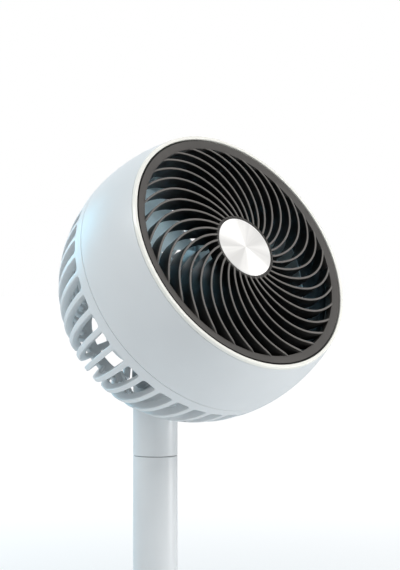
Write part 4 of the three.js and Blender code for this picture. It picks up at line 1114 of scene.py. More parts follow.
@dataclass(frozen=True)
class Casing(Assembly):
    """The front shell and the rim trim."""

    ball: Ball = Ball()
    wall: float = SHELL_WALL
    shell_front: float = 0.0026
    seam_back: float = 0.0667
    ring_outer: float = RING_OUTER
    ring_depth: float = RING_DEPTH
    lip_depth: float = 0.003  # of the shell's bore behind the ring
    wall_start: float = 0.006  # where the wall is as thin as elsewhere, behind the ring
    trim_front: float = 0.0005
    trim_wall: float = 0.001
    trim_chamfer: float = 0.0009
    trim_step: float = 0.0003  # shadow line between trim and shell
    trim_rounding: float = 0.0006

    def build(self) -> None:
        """Makes both pieces."""
        bore = self.ring_outer + 2 * GAP + self.trim_wall
        outside = self.ball.line(self.shell_front, self.seam_back, 48)
        inside = self.ball.line(self.seam_back, self.ring_depth + self.wall_start, 24, self.wall)
        lip = [(bore, -self.ring_depth - self.lip_depth), (bore, -self.shell_front)]
        shell = turned("shell", [*outside, *inside, *lip], self.shop.head, FINE, ROUNDING)
        self.shop.piece("front_casing", shell, Look.SHELL_WHITE, Body.HEAD, "front_shell")
        inner = self.ring_outer + GAP
        outer = self.ball.at(self.shell_front)
        profile = [
            (inner, self.trim_front),
            (outer - self.trim_chamfer, self.trim_front),
            (outer, -self.shell_front + 2 * GAP),
            (outer - self.trim_step, -self.shell_front + GAP),
            (inner + self.trim_wall, -self.shell_front + GAP),
            (inner + self.trim_wall, -self.ring_depth),
            (inner, -self.ring_depth),
        ]
        trim = turned("trim", profile, self.shop.head, FINE, self.trim_rounding)
        self.shop.piece("rim_band", trim, Look.TRIM_WHITE, Body.HEAD, "rim_trim")


@dataclass(frozen=True)
class Grille(Assembly):
    """The swirled grille, moulded in one: ring, fins and hub."""

    ring_outer: float = RING_OUTER
    ring_inner: float = 0.1034
    ring_depth: float = RING_DEPTH
    ring_slope: float = 0.0011
    hub_radius: float = 0.031
    hub_depth: float = 0.014
    hub_wall: float = 0.0025
    hub_drop: float = 0.0006  # of the hub's rim below the dome
    dish_drop: float = 0.0003  # and of the disc's seat
    disc_radius: float = 0.0287
    disc_thickness: float = 0.0016
    disc_edge: float = 0.0006
    disc_drop: float = 0.0005
    disc_crown: float = 0.0003
    dome: float = 0.0051
    fin_count: int = 33
    fin_thickness: float = 0.0018
    fin_taper: float = 0.75  # how much of its thickness a fin has at its back
    fin_rounding: float = 0.0009
    fin_back: float = 0.014
    fin_lift: float = 0.0035  # how much the rear edge rises at the ring
    # The grille's lighter colour is painted light: a painted highlight on the fins' front edges, the ring's
    # face and the hub's rim, with painted shade on the fins' sides.
    painted_highlight_depth: float = 0.0010  # how far behind its front a fin has turned dark
    groove: float = 0.0013  # width of the shadow line round the ring's outer edge
    groove_depth: float = 0.002
    ring_painted_light: float = 0.5  # shares of the lighter colour on the ring's face,
    bevel_painted_light: float = 0.1  # below its slope
    hub_painted_light: float = 0.3  # and on the hub's rim
    # A fin's course: radius, turn in degrees from +X, and how far its front stands before the ring's face.
    course: tuple[tuple[float, float, float], ...] = (
        (0.0297, 91.6, 0.0051),
        (0.033, 93.74, 0.0051),
        (0.047, 102.95, 0.0050),
        (0.061, 111.43, 0.0046),
        (0.075, 119.96, 0.0040),
        (0.089, 130.04, 0.0030),
        (0.102, 141.77, 0.0006),
        (0.1054, 145.3, -0.0024),
    )

    SLACK = 0.0001
    HALF_STEP = 0.0004  # along the course, to find its direction

    def spot(self, radius: float) -> Vector:
        """Finds where the first fin's middle lies.

        Args:
            radius: How far from the head's axis.

        Returns:
            The place across the axis.
        """
        turn, _ = smooth_curve(self.course, radius)
        angle = math.radians(turn)
        return Vector((radius * math.cos(angle), radius * math.sin(angle)))

    def fin(self) -> bpy.types.Mesh:
        """Makes one fin, from inside the hub's wall to inside the ring, with a rounded front edge.

        Returns:
            The fin.
        """
        loops = []
        half = self.fin_thickness / 2
        thin = half * self.fin_taper
        first, rise_start, last = self.course[0][0], self.course[-3][0], self.course[-1][0]
        for radius in steps(first, last, 48):
            along = (self.spot(radius + self.HALF_STEP) - self.spot(radius - self.HALF_STEP)).normalized()
            side = Vector((-along.y, along.x))
            _, front = smooth_curve(self.course, radius)
            risen = max(0.0, (radius - rise_start) / (last - rise_start))
            back = -self.fin_back + self.fin_lift * risen
            right = [(half, front), (half, front - self.painted_highlight_depth), (thin, back)]
            left = [(-across, height) for across, height in reversed(right)]
            section = rounded([*right, *left], self.fin_rounding, arc=3)
            middle = self.spot(radius)
            loops.append([Vector((*(middle + side * across), height)) for across, height in section])
        return lofted("fin", loops, self.shop.head)

    def light(self, radius: float, height: float) -> float:
        """Says how much painted light the grille has at a place: a painted highlight on the fins' front
        edges, less on the ring and the hub's rim, and painted shade on the fins' sides and in the groove.

        Args:
            radius: How far it lies from the head's axis.
            height: And how far before the ring's face.

        Returns:
            The share of the lighter colour, which may be past 0 or 1.
        """
        if radius > self.ring_outer - self.groove - self.SLACK:
            return 0.0
        if radius > self.course[-2][0] and height > -self.ring_depth:
            return self.ring_painted_light if height > -2 * self.ring_slope else self.bevel_painted_light
        if radius < self.hub_radius + self.SLACK:
            return self.hub_painted_light if height > self.dome - 2 * self.disc_thickness else 0.0
        _, front = smooth_curve(self.course, radius)
        return 1.0 - (front - height) / self.painted_highlight_depth

    def build(self) -> None:
        """Makes the grille and its brushed disc."""
        ring_profile = [
            (self.ring_inner, -self.ring_slope),
            (self.ring_outer - self.groove, 0),
            (self.ring_outer - self.groove, -self.groove_depth),
            (self.ring_outer, -self.groove_depth),
            (self.ring_outer, -self.ring_depth),
            (self.ring_inner, -self.ring_depth),
        ]
        ring = turned("ring", ring_profile, self.shop.head, FINE, ROUNDING)
        floor = self.dome - self.disc_thickness - GAP
        dish = self.disc_radius + GAP
        hub_profile = [
            (0, floor),
            (dish, floor),
            (dish, self.dome - self.dish_drop),
            (self.hub_radius, self.dome - self.hub_drop),
            (self.hub_radius, self.dome - self.hub_depth),
            (self.hub_radius - self.hub_wall, self.dome - self.hub_depth),
            (self.hub_radius - self.hub_wall, floor - self.hub_wall),
            (0, floor - self.hub_wall),
        ]
        hub = turned("hub", hub_profile, self.shop.head, MEDIUM, ROUNDING)
        finish = self.shop.finishes[Look.GRILLE_GREY]
        fins = self.shop.ring.around(self.fin(), self.fin_count, self.shop.head, finish)
        grille = joined("grille", [ring, hub, fins])
        self.shop.paint_light(grille, self.light)
        self.shop.piece("swirl_grille", grille, Look.GRILLE_GREY, Body.HEAD, "front_grille")
        self.disc()

    def disc(self) -> None:
        """Makes the spun disc, with a polar UV map for its lines."""
        top = self.dome - self.disc_drop
        low = self.dome - self.disc_thickness
        rim = self.disc_radius
        radii = [rim * i / 12 for i in range(12)]
        crown = [(radius, top + self.disc_crown * (1 - (radius / rim) ** 2)) for radius in radii]
        edge = [(rim - self.disc_edge, top), (rim, top - self.disc_edge), (rim, low)]
        mesh = turned("disc", [(0, low), *reversed(edge), *reversed(crown)], self.shop.head, MEDIUM)
        inverse = self.shop.head.inverted()
        layer = mesh.uv_layers.new(name="polar")
        for face in mesh.polygons:
            middle = inverse @ face.center
            centre_turn = math.atan2(middle.y, middle.x) / TAU
            for loop in face.loop_indices:
                spot = inverse @ mesh.vertices[mesh.loops[loop].vertex_index].co
                radius = math.hypot(spot.x, spot.y)
                turn = math.atan2(spot.y, spot.x) / TAU if radius > TINY else centre_turn
                turn += round(centre_turn - turn)
                layer.data[loop].uv = (turn, radius / rim)
        self.shop.piece("brushed_disc", mesh, Look.SPUN_METAL, Body.HEAD, "hub_badge")


@dataclass(frozen=True)
class Cage(Assembly):
    """The rear shell: a band, meridional ribs, the ring and hub of its back, and the neck's slot."""

    ball: Ball = Ball()
    wall: float = 0.0035
    front: float = 0.0672
    band_back: float = 0.0781
    rib_count: int = 42
    rib_width: float = 0.0054
    rib_depth: float = 0.008
    rib_taper: float = 0.86  # how much of its width a rib has on its inner side
    rib_rounding: float = 0.0011
    rib_root: float = 0.003  # how far it runs into the band
    rib_sink: Point = (0.0003, 0.0006)  # of its start, below the band's outside and out of its inside
    rib_narrowest: float = 0.72  # share of its width that it would have on the axis
    deepening: float = 0.012  # how far behind the band a rib is at its full depth
    slot_corner: float = 0.0034
    back: float = 0.175
    edge_fillet: float = 0.030
    turn_radius: float = 0.075
    ring_outer: float = 0.055
    ring_inner: float = 0.043
    hub_radius: float = 0.026
    thickness: float = 0.005
    back_rounding: float = 0.001
    spoke_count: int = 7
    spoke_width: float = 0.006
    spoke_flare: float = 1.3
    spoke_lap: float = 0.002  # of a spoke in the hub and the ring
    spoke_sink: float = 0.0004  # of its faces below theirs
    spoke_rounding: float = 0.0008
    slot_half: float = 0.023
    slot_front: float = 0.1315
    slot_top: float = 0.032
    cheek: float = 0.004
    cheek_reach: float = 0.024  # how far a cheek runs on before the slot
    cheek_foot: float = 0.002  # below the slot's top
    cheek_rounding: float = 0.0006
    bar_width: float = 0.005
    post_circle: float = 0.1105
    post_radius: float = 0.0044
    post_bore: float = 0.0022
    post_front: float = 0.0698
    post_back: float = 0.0838
    web_half: float = 0.0015
    web_start: float = 0.003  # from the post's middle
    post_turns: tuple[int, ...] = (45, 135, 225, 315)  # degrees
    cap_inset: float = 0.003
    cap_edge: float = 0.0008
    cap_rise: float = 0.0022
    cap_fullness: float = 0.6  # the lower, the fuller its curve

    CORNER_SHARES = (0, 0.04, 0.12, 0.25, 0.42, 0.65)  # of a slot's corner, denser where it curves most
    TURN_START = 0.86  # share of the fillet's lean where its first point lies
    INSET = 0.001
    BELOW = -0.2  # past the cage's underside
    BEHIND = 0.01  # past its back

    def meridian(self) -> list[tuple[float, float, float, float]]:
        """Draws the cage's outer line from the slots' ends to the back.

        Returns:
            Rows of radius, height and the outward direction's two parts.
        """
        ratio = self.turn_radius / self.ball.radius
        turn_back = self.ball.widest_back + self.ball.rear_length * math.sqrt(1 - ratio**2)
        line = []
        corner = [self.band_back + self.slot_corner * share for share in self.CORNER_SHARES]
        for back in [*corner, *steps(self.band_back + self.slot_corner, turn_back, 20)]:
            normal = self.ball.normal(back)
            line.append((self.ball.at(back), -back, normal.x, normal.y))
        lean = math.atan2(line[-1][2], -line[-1][3])
        fillet = self.edge_fillet
        middle, height = self.turn_radius - fillet * math.sin(lean), -self.back + fillet
        for share in steps(self.TURN_START, 0, 6):
            across, along = math.sin(lean * share), -math.cos(lean * share)
            line.append((middle + fillet * across, height + fillet * along, across, along))
        line.append(((self.ring_inner + self.ring_outer) / 2, -self.back, 0.0, -1.0))
        return line

    def section(self, row: tuple[float, float, float, float], width: float, depth: float) -> list[Vector]:
        """Draws one cross-section of a rib, with rounded edges, bent round the head's axis.

        Args:
            row: The outer line's radius, height and outward direction there.
            width: The rib's width there.
            depth: Its depth.

        Returns:
            The section's points, with the rib on +X.
        """
        radius, height, across, along = row
        half = width / 2
        inner = half * self.rib_taper
        outline = [(-half, 0), (half, 0), (inner, depth), (-inner, depth)]
        points = []
        for sideways, inward in rounded(outline, self.rib_rounding, arc=3):
            turn = sideways / radius
            reach = radius - inward * across
            points.append(Vector((reach * math.cos(turn), reach * math.sin(turn), height - inward * along)))
        return points

    def rib(self) -> bpy.types.Mesh:
        """Makes one rib, which starts inside the band with a flare that rounds the slots' corners.

        Returns:
            The rib, on +X.
        """
        start = self.band_back - self.rib_root
        normal = self.ball.normal(start)
        sunk, short = self.rib_sink
        root = (self.ball.at(start) - sunk, -start, normal.x, normal.y)
        loops = [self.section(root, self.rib_width + 2 * self.slot_corner, self.wall - short)]
        line = self.meridian()
        for row in line:
            radius, height = row[:2]
            past = -height - self.band_back
            flare = max(0.0, 1 - past / self.slot_corner)
            bulge = self.slot_corner * (1 - math.sqrt(max(0.0, 1 - flare**2)))
            widening = (1 - self.rib_narrowest) * radius / self.ball.radius
            width = self.rib_width * (self.rib_narrowest + widening)
            deep = self.wall + (self.rib_depth - self.wall) * min(1.0, past / self.deepening)
            if row is line[-1]:
                deep = self.thickness - self.INSET
            loops.append(self.section(row, width + 2 * bulge, deep))
        return lofted("rib", loops, self.shop.head)

    def build(self) -> None:
        """Makes the cage and its cap."""
        outside = self.ball.line(self.front, self.band_back, 8)
        inside = self.ball.line(self.band_back, self.front, 8, self.wall)
        band = turned("band", [*outside, *inside], self.shop.head, FINE, ROUNDING)
        finish = self.shop.finishes[Look.SHELL_WHITE]
        start = math.pi / 2 + TAU / self.rib_count / 2
        ribs = self.shop.ring.around(self.rib(), self.rib_count, self.shop.head, finish, start)
        ribs = cut("ribs", ribs, self.notch())
        deep = -self.back + self.thickness
        ring_rows = box_of(self.ring_inner, self.ring_outer, -self.back, deep)
        ring = turned("back_ring", ring_rows, self.shop.head, FINE, self.back_rounding)
        ring = cut("back_ring", ring, self.notch())
        hub_rows = box_of(0, self.hub_radius, -self.back, deep)
        hub = turned("hub", hub_rows, self.shop.head, MEDIUM, self.back_rounding)
        half = self.spoke_width / 2
        root, end = self.hub_radius - self.spoke_lap, self.ring_inner + self.spoke_lap
        flared = half * self.spoke_flare
        outline = [(root, -flared), (end, -half), (end, half), (root, flared)]
        low, high = -self.back + self.spoke_sink, deep - self.spoke_sink
        spoke = extruded("spoke", outline, low, high, self.shop.head)
        spoke = softened(spoke, self.spoke_rounding)
        spokes = self.shop.ring.around(spoke, self.spoke_count, self.shop.head, finish, math.pi / 2)
        parts = [band, ribs, ring, hub, spokes, *self.cheeks(), self.bar(), *self.posts()]
        self.shop.piece("rear_cage", joined("cage", parts), Look.SHELL_WHITE, Body.HEAD, "rear_shell")
        self.cap()

    def notch(self) -> bpy.types.Mesh:
        """Makes the block that clears the neck's slot."""
        outline = box_of(-self.slot_half, self.slot_half, self.BELOW, -self.slot_top)
        return extruded("block", outline, -self.back - self.BEHIND, -self.slot_front, self.shop.head)

    def cheeks(self) -> list[bpy.types.Mesh]:
        """Makes the two cheeks beside the neck's slot.

        Returns:
            The cheeks.
        """
        middle = self.slot_half + self.cheek / 2

        def drop(radius: float) -> float:
            """How high a cheek's edge lies where the cage has a radius."""
            return -math.sqrt(max(radius**2 - middle**2, self.slot_top**2))

        outer, inner = [], []
        for radius, height, across, along in self.meridian()[:-1]:
            if height < -self.slot_front + self.cheek_reach:
                outer.append((drop(radius), height))
                inner.append((drop(radius - across * self.rib_depth), height - along * self.rib_depth))
        foot = -self.slot_top - self.cheek_foot
        tail = [(foot, -self.back), (foot, -self.back + self.thickness)]
        outline = [*outer, *tail, *reversed(inner)]
        # The outline's X runs up, its Y along the head's axis and its Z along the head's X.
        upright = self.shop.head @ Matrix(((0, 0, 1, 0), (1, 0, 0, 0), (0, 1, 0, 0), (0, 0, 0, 1)))
        result = []
        for side in (-1, 1):
            low, high = side * middle - self.cheek / 2, side * middle + self.cheek / 2
            result.append(softened(extruded("cheek", outline, low, high, upright), self.cheek_rounding))
        return result

    def bar(self) -> bpy.types.Mesh:
        """Makes the bar across the slot's front end.

        Returns:
            The bar.
        """
        reach = self.slot_half + self.cheek
        spread = math.asin(reach / self.ball.at(self.slot_front))
        front = self.slot_front - self.bar_width
        deep = self.rib_depth
        corners = ((front, 0), (self.slot_front, 0), (self.slot_front, deep), (front, deep))
        loops = []
        for turn in steps(-spread, spread, 16):
            ring = []
            for back, inward in corners:
                radius = self.ball.at(back) - inward
                ring.append(Vector((radius * math.sin(turn), -radius * math.cos(turn), -back)))
            loops.append(ring)
        return softened(lofted("bar", loops, self.shop.head), self.cheek_rounding)

    def posts(self) -> list[bpy.types.Mesh]:
        """Makes the four screw posts inside the band and their webs.

        Returns:
            The posts and webs.
        """
        parts = []
        rows = box_of(self.post_bore, self.post_radius, -self.post_back, -self.post_front)
        outer = self.ball.at(self.band_back) - self.INSET
        outline = box_of(self.post_circle + self.web_start, outer, -self.web_half, self.web_half)
        for turn in self.post_turns:
            angle = math.radians(turn)
            spot = (self.post_circle * math.cos(angle), self.post_circle * math.sin(angle), 0)
            parts.append(turned("post", rows, self.shop.head @ Matrix.Translation(spot), SMALL, ROUNDING))
            place = self.shop.head @ Matrix.Rotation(angle, 4, "Z")
            parts.append(extruded("web", outline, -self.band_back, -self.post_front, place))
        return parts

    def cap(self) -> None:
        """Makes the dished cap on the hub of the back."""
        face = -self.back - GAP
        radius = self.hub_radius - self.cap_inset
        turns = steps(0, math.pi / 2, 10)[:-1]
        curve = [
            (radius * math.cos(a) ** self.cap_fullness, face - self.cap_edge - self.cap_rise * math.sin(a))
            for a in turns
        ]
        profile = [(0, face), (radius, face), *curve, (0, face - self.cap_edge - self.cap_rise)]
        cap = turned("cap", profile, self.shop.head, MEDIUM)
        self.shop.piece("back_cap", cap, Look.SHELL_WHITE, Body.HEAD, "rear_cap")


@dataclass(frozen=True)
class Duct(Assembly):
    """The tube that the impeller turns in, with a bell mouth in front and a flange behind."""

    ball: Ball = Ball()
    bore: float = 0.102
    wall: float = 0.002
    front: float = 0.012
    mouth: float = 0.003  # size of the bell mouth
    lip: float = 0.1111
    flange_back: float = 0.0657
    flange: float = 0.002
    flare: Point = (0.0015, 0.004)  # of the bore behind, outwards and along
    shell_wall: float = SHELL_WALL
    rounding: float = 0.0005

    def light(self, radius: float, height: float) -> float:
        """Says where the duct has painted light: on its outside, which the cage's slots show."""
        outside = radius > self.bore + self.wall / 2 and height < -self.front - self.flange / 2
        return float(outside)

    def build(self) -> None:
        """Makes the duct."""
        seat = self.ball.at(self.flange_back - self.flange) - self.shell_wall - 2 * GAP
        outer = self.bore + self.wall
        profile = [
            (self.bore, -self.front - self.mouth),
            (self.bore + self.mouth, -self.front),
            (self.lip, -self.front),
            (self.lip, -self.front - self.flange),
            (outer, -self.front - self.flange),
            (outer, -self.flange_back + self.flange),
            (seat, -self.flange_back + self.flange),
            (seat, -self.flange_back),
            (self.bore + self.flare[0], -self.flange_back),
            (self.bore, -self.flange_back + self.flare[1]),
        ]
        duct = turned("duct", profile, self.shop.head, FINE, self.rounding)
        self.shop.paint_light(duct, self.light)
        self.shop.piece("air_tunnel", duct, Look.DUCT_BLUE, Body.HEAD, "air_duct")


@dataclass(frozen=True)
class Impeller(Assembly):
    """The wheel: a cup-shaped hub with broad curved blades, held by a nut."""

    blade_count: int = 7
    thickness: float = 0.0020
    front: float = 0.020
    back: float = 0.056
    hub_radius: float = 0.033
    hub_wall: float = 0.0025
    hub_round: float = 0.004  # of the cup's shoulder
    boss_wall: float = 0.003
    boss_lift: float = 0.006  # of the boss's end from the hub's
    tip: float = 0.0985
    shaft: float = MOTOR_SHAFT
    chord: float = 62.0  # degrees at the hub
    chord_gain: float = 12.0  # degrees more at the tip
    fill: float = 0.76  # how much of the wheel's depth a blade takes up at the hub
    flattening: float = 0.18  # and how much less at the tip
    sweep: float = 14.0  # degrees from hub to tip
    camber: float = 0.004
    start: float = 26.0  # the first blade's turn in degrees
    nut_radius: float = 0.009
    nut_top: float = 0.005
    nut_height: float = 0.007
    nut_skirt: float = 0.003
    nut_hole: float = 0.0045
    nut_rounding: float = 0.0005

    THINNEST = 0.35  # share of a blade's thickness at its edges
    EDGE_POWER = 8  # the higher, the blunter the edges

    def skin(self, share: float, t: float, side: int) -> Vector:
        """Finds a point of the first blade's skin.

        Args:
            share: How far from hub to tip, up to 1.
            t: How far along the chord, up to 1.
            side: 1 for the front, -1 for the rear.

        Returns:
            The point in the head's frame.
        """
        root = self.hub_radius - self.hub_wall / 2
        radius = root + (self.tip - root) * share
        reach = (self.back - self.front) * (self.fill - self.flattening * share)
        span = self.chord + self.chord_gain * share
        from_middle = 2 * t - 1
        edge = math.sqrt(max(0.0, 1 - from_middle**self.EDGE_POWER))
        share_of_thickness = self.THINNEST + (1 - self.THINNEST) * math.sin(math.pi * t)
        thick = self.thickness / 2 * share_of_thickness * edge * side
        bow = self.camber * (1 - from_middle**2)
        angle = math.radians(self.sweep * share + span * (t - 0.5))
        middle = -(self.front + self.back) / 2
        height = middle + reach * (t - 0.5) + bow + thick
        return Vector((radius * math.cos(angle), radius * math.sin(angle), height))

    def blade(self) -> bpy.types.Mesh:
        """Makes one blade: a thin cambered sheet with rounded edges that overlaps the next one.

        Returns:
            The blade.
        """
        chords = steps(0, 1, 14)
        loops = []
        for share in steps(0, 1, 18):
            upper = [self.skin(share, t, 1) for t in chords]
            lower = [self.skin(share, t, -1) for t in reversed(chords[1:-1])]
            loops.append([*upper, *lower])
        return lofted("blade", loops, self.shop.head, bent=True)

    def build(self) -> None:
        """Makes the wheel and its nut."""
        boss, bore = self.shaft + self.boss_wall, self.shaft + GAP
        rise = self.hub_round
        roof = -self.front - rise - self.hub_wall
        rim = [
            (self.hub_radius - rise + rise * math.sin(a), -self.front - rise + rise * math.cos(a))
            for a in steps(0, math.pi / 2, 8)
        ]
        profile = [
            (bore, -self.front),
            *rim,
            (self.hub_radius, -self.back),
            (self.hub_radius - self.hub_wall, -self.back),
            (self.hub_radius - self.hub_wall, roof),
            (boss, roof),
            (boss, -self.back + self.boss_lift),
            (bore, -self.back + self.boss_lift),
        ]
        hub = turned("hub", profile, self.shop.head, MEDIUM, ROUNDING)
        finish = self.shop.finishes[Look.SMOKED_BLUE]
        start = math.radians(self.start)
        blades = self.shop.ring.around(self.blade(), self.blade_count, self.shop.head, finish, start)
        wheel = joined("wheel", [hub, blades])
        self.shop.piece("blade_wheel", wheel, Look.SMOKED_BLUE, Body.IMPELLER, "impeller")
        low = -self.front + GAP
        nut_profile = [
            (0, low + self.nut_height),
            (self.nut_top, low + self.nut_height),
            (self.nut_radius, low + self.nut_skirt),
            (self.nut_radius, low),
            (bore, low),
            (bore, low + self.nut_hole),
            (0, low + self.nut_hole),
        ]
        nut = turned("nut", nut_profile, self.shop.head, SMALL, self.nut_rounding)
        self.shop.piece("wheel_nut", nut, Look.BLACK_PLASTIC, Body.IMPELLER, "impeller_nut")


@dataclass(frozen=True)
class Motor(Assembly):
    """The motor's front shield and can, with the arms that hold it in the air stream."""

    front: float = 0.062
    back: float = 0.108
    radius: float = 0.034
    can_wall: float = 0.002
    shield: float = 0.004
    shaft: float = MOTOR_SHAFT
    nose: float = 0.002  # how far the face's middle stands forward
    nose_slope: float = 0.005  # how broad the slope round it is
    shoulder: float = 0.0015
    collar: float = 0.0113
    collar_wall: float = 0.003
    bearing: float = 0.007
    bearing_proud: float = 0.002
    bearing_seat: float = 0.001
    face_rounding: float = 0.0012
    arm_count: int = 6
    arm_width: float = 0.004
    arm_turn: float = 30.0  # the first arm's turn in degrees
    arm_lap: float = 0.002  # of an arm in the face and the ring
    arm_slope_end: float = 0.003  # of its front edge, before the ring
    arm_sink: float = 0.0005  # of its edges below the ring's
    rounding: float = 0.0006
    can_rounding: float = 0.0003
    ring_inner: float = 0.104
    ring_outer: float = 0.1176
    ring_front: float = 0.066
    ring_back: float = 0.0695

    def build(self) -> None:
        """Makes the face, its arms and ring, and the can."""
        cavity = self.front + self.shield
        inner = self.shaft + RUN
        lip = -cavity - self.bearing + self.bearing_proud
        profile = [
            (inner, -self.front + self.nose),
            (self.radius - self.nose_slope, -self.front + self.nose),
            (self.radius, -self.front - self.shoulder),
            (self.radius, -cavity),
            (self.collar + self.collar_wall, -cavity),
            (self.collar + self.collar_wall, lip),
            (self.collar, lip),
            (self.collar, -cavity + self.bearing_seat),
            (inner, -cavity + self.bearing_seat),
        ]
        face = turned("face", profile, self.shop.head, MEDIUM, self.face_rounding)
        rows = box_of(self.ring_inner, self.ring_outer, -self.ring_back, -self.ring_front)
        ring = turned("ring", rows, self.shop.head, FINE, self.rounding)
        root, end = self.radius - self.arm_lap, self.ring_inner + self.arm_lap
        top, foot = -self.ring_front - self.arm_sink, -self.ring_back + self.arm_sink
        outline = [
            (root, -self.front - self.shoulder),
            (self.ring_inner - self.arm_slope_end, top),
            (end, top),
            (end, foot),
            (self.radius + RUN, foot),
            (self.radius + RUN, -cavity + self.arm_sink),
            (root, -cavity + self.arm_sink),
        ]
        # The outline's Y runs along the head's axis, and its Z across it.
        upright = self.shop.head @ Matrix(((1, 0, 0, 0), (0, 0, -1, 0), (0, 1, 0, 0), (0, 0, 0, 1)))
        arm = extruded("arm", outline, -self.arm_width / 2, self.arm_width / 2, upright)
        arm = softened(arm, self.rounding)
        finish = self.shop.finishes[Look.INNER_GREY]
        arms = self.shop.ring.around(arm, self.arm_count, self.shop.head, finish, math.radians(self.arm_turn))
        carrier = joined("carrier", [face, ring, arms])
        self.shop.piece("motor_carrier", carrier, Look.INNER_GREY, Body.HEAD, "motor_spider")
        low, high = -self.back + self.shield + GAP, -cavity - GAP
        rows = box_of(self.radius - self.can_wall, self.radius, low, high)
        can = turned("can", rows, self.shop.head, MEDIUM, self.can_rounding)
        self.shop.piece("motor_sleeve", can, Look.ZINC_STEEL, Body.HEAD, "motor_can")


@dataclass(frozen=True)
class TiltJoint(Assembly):
    """The motor's rear shield and the cross shaft, bracket, stepper, pinion and sector that tilt the head."""

    shaft_radius: float = TILT_SHAFT
    stepper_radius: float = 0.012
    rounding: float = 0.0006
    bracket_rounding: float = 0.0005
    tooth_rounding: float = 0.0002

    def build(self) -> None:
        """Softens the flat-sided pieces and turns the round ones finer."""
        self.shop.refined("tilt_bracket", Look.ZINC_STEEL, Body.HEAD, self.bracket_rounding)
        self.shop.refined("motor_rear_shield", Look.DIE_CAST, Body.HEAD, self.rounding)
        self.shop.refined("tilt_pinion", Look.BRASS, Body.PINION, self.tooth_rounding)
        self.shop.refined("tilt_sector_gear", Look.BRASS, Body.NECK, self.tooth_rounding)
        self.rod("tilt_shaft", self.shaft_radius, Look.STEEL, Body.NECK)
        self.rod("tilt_stepper", self.stepper_radius, Look.ZINC_STEEL, Body.HEAD)

    def rod(self, node: str, radius: float, look: Look, body: Body) -> None:
        """Replaces a round solid that lies along X by a finer one.

        Args:
            node: The solid's name.
            radius: Its radius.
            look: Its finish.
            body: The body it rides on.
        """
        low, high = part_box(node)
        place = self.shop.across(Vector((0, (low.y + high.y) / 2, (low.z + high.z) / 2)))
        rod = turned(node, box_of(0, radius, low.x, high.x), place, SMALL, self.rounding)
        self.shop.piece(f"{node}_turned", rod, look, body, node)


# ---------------------------------------------------------------- neck, stem and base
@dataclass(frozen=True)
class Column(Assembly):
    """The neck with its knuckle, the stem below it, and the collar on the base."""

    radius: float = STEM_RADIUS
    stem_wall: float = 0.003
    neck_wall: float = 0.0045
    knuckle_half: float = 0.0143
    shoulder_drop: float = 0.002
    rise: float = 0.018
    recess_drop: float = 0.018
    shaft_radius: float = TILT_SHAFT
    roof: float = 0.012  # thickness of the neck below the shaft
    roof_slope: float = 0.006
    rounding: float = 0.0005
    collar_rounding: float = 0.0003
    collar_top: float = 0.0015  # width of the collar's top edge
    flare_start: float = 0.12  # radians

    CLEAR = 0.05  # far enough for a cutter to come out of the neck

    def build(self) -> None:
        """Makes the neck, the stem and the collar."""
        self.neck()
        foot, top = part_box("stem_tube")
        rows = box_of(self.radius - self.stem_wall, self.radius, foot.z, top.z)
        stem = turned("stem", rows, self.shop.floor, MEDIUM, self.rounding)
        self.shop.piece("stem_column", stem, Look.SHELL_WHITE, Body.BASE, "stem_tube")
        self.collar()

    def neck(self) -> None:
        """Makes the neck: a domed tube with a recess on either side of its knuckle."""
        pivot = self.shop.joints["tilt"]["pos_m"][2]
        low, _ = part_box("neck_tube")
        shoulder = pivot - self.shoulder_drop
        turns = steps(0, math.pi / 2, 16)
        dome = [(self.radius * math.cos(a), shoulder + self.rise * math.sin(a)) for a in turns]
        dome[-1] = (0, dome[-1][1])
        bore, roof = self.radius - self.neck_wall, pivot - self.shaft_radius - self.roof
        profile = [(0, roof), (bore, roof - self.roof_slope), (bore, low.z), (self.radius, low.z), *dome]
        neck = turned("neck", profile, self.shop.floor, MEDIUM, self.rounding)
        tools = []
        for side in (-1, 1):
            start, end = sorted((side * self.knuckle_half, side * 2 * self.radius))
            outline = box_of(start, end, -self.CLEAR, self.CLEAR)
            foot, top = pivot - self.recess_drop, pivot + self.CLEAR
            tools.append(extruded("recess", outline, foot, top, self.shop.floor))
        span = box_of(0, self.shaft_radius + GAP, -self.CLEAR, self.CLEAR)
        tools.append(turned("hole", span, self.shop.across(Vector((0, 0, pivot))), SMALL))
        self.shop.piece("neck_column", cut("neck", neck, *tools), Look.SHELL_WHITE, Body.NECK, "neck_tube")

    def collar(self) -> None:
        """Makes the flared ring where the stem meets the base."""
        low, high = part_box("stem_collar")
        inner, outer = self.radius + GAP, high.x
        width, height = outer - inner - self.collar_top, high.z - low.z
        turns = steps(self.flare_start, math.pi / 2, 12)
        flare = [(outer - width * (1 - math.cos(a)), low.z + height * math.sin(a)) for a in turns]
        profile = [(inner, low.z), (outer, low.z), *flare, (inner, high.z)]
        collar = turned("collar", profile, self.shop.floor, MEDIUM, self.collar_rounding)
        self.shop.piece("foot_collar", collar, Look.TRIM_WHITE, Body.BASE, "stem_collar")


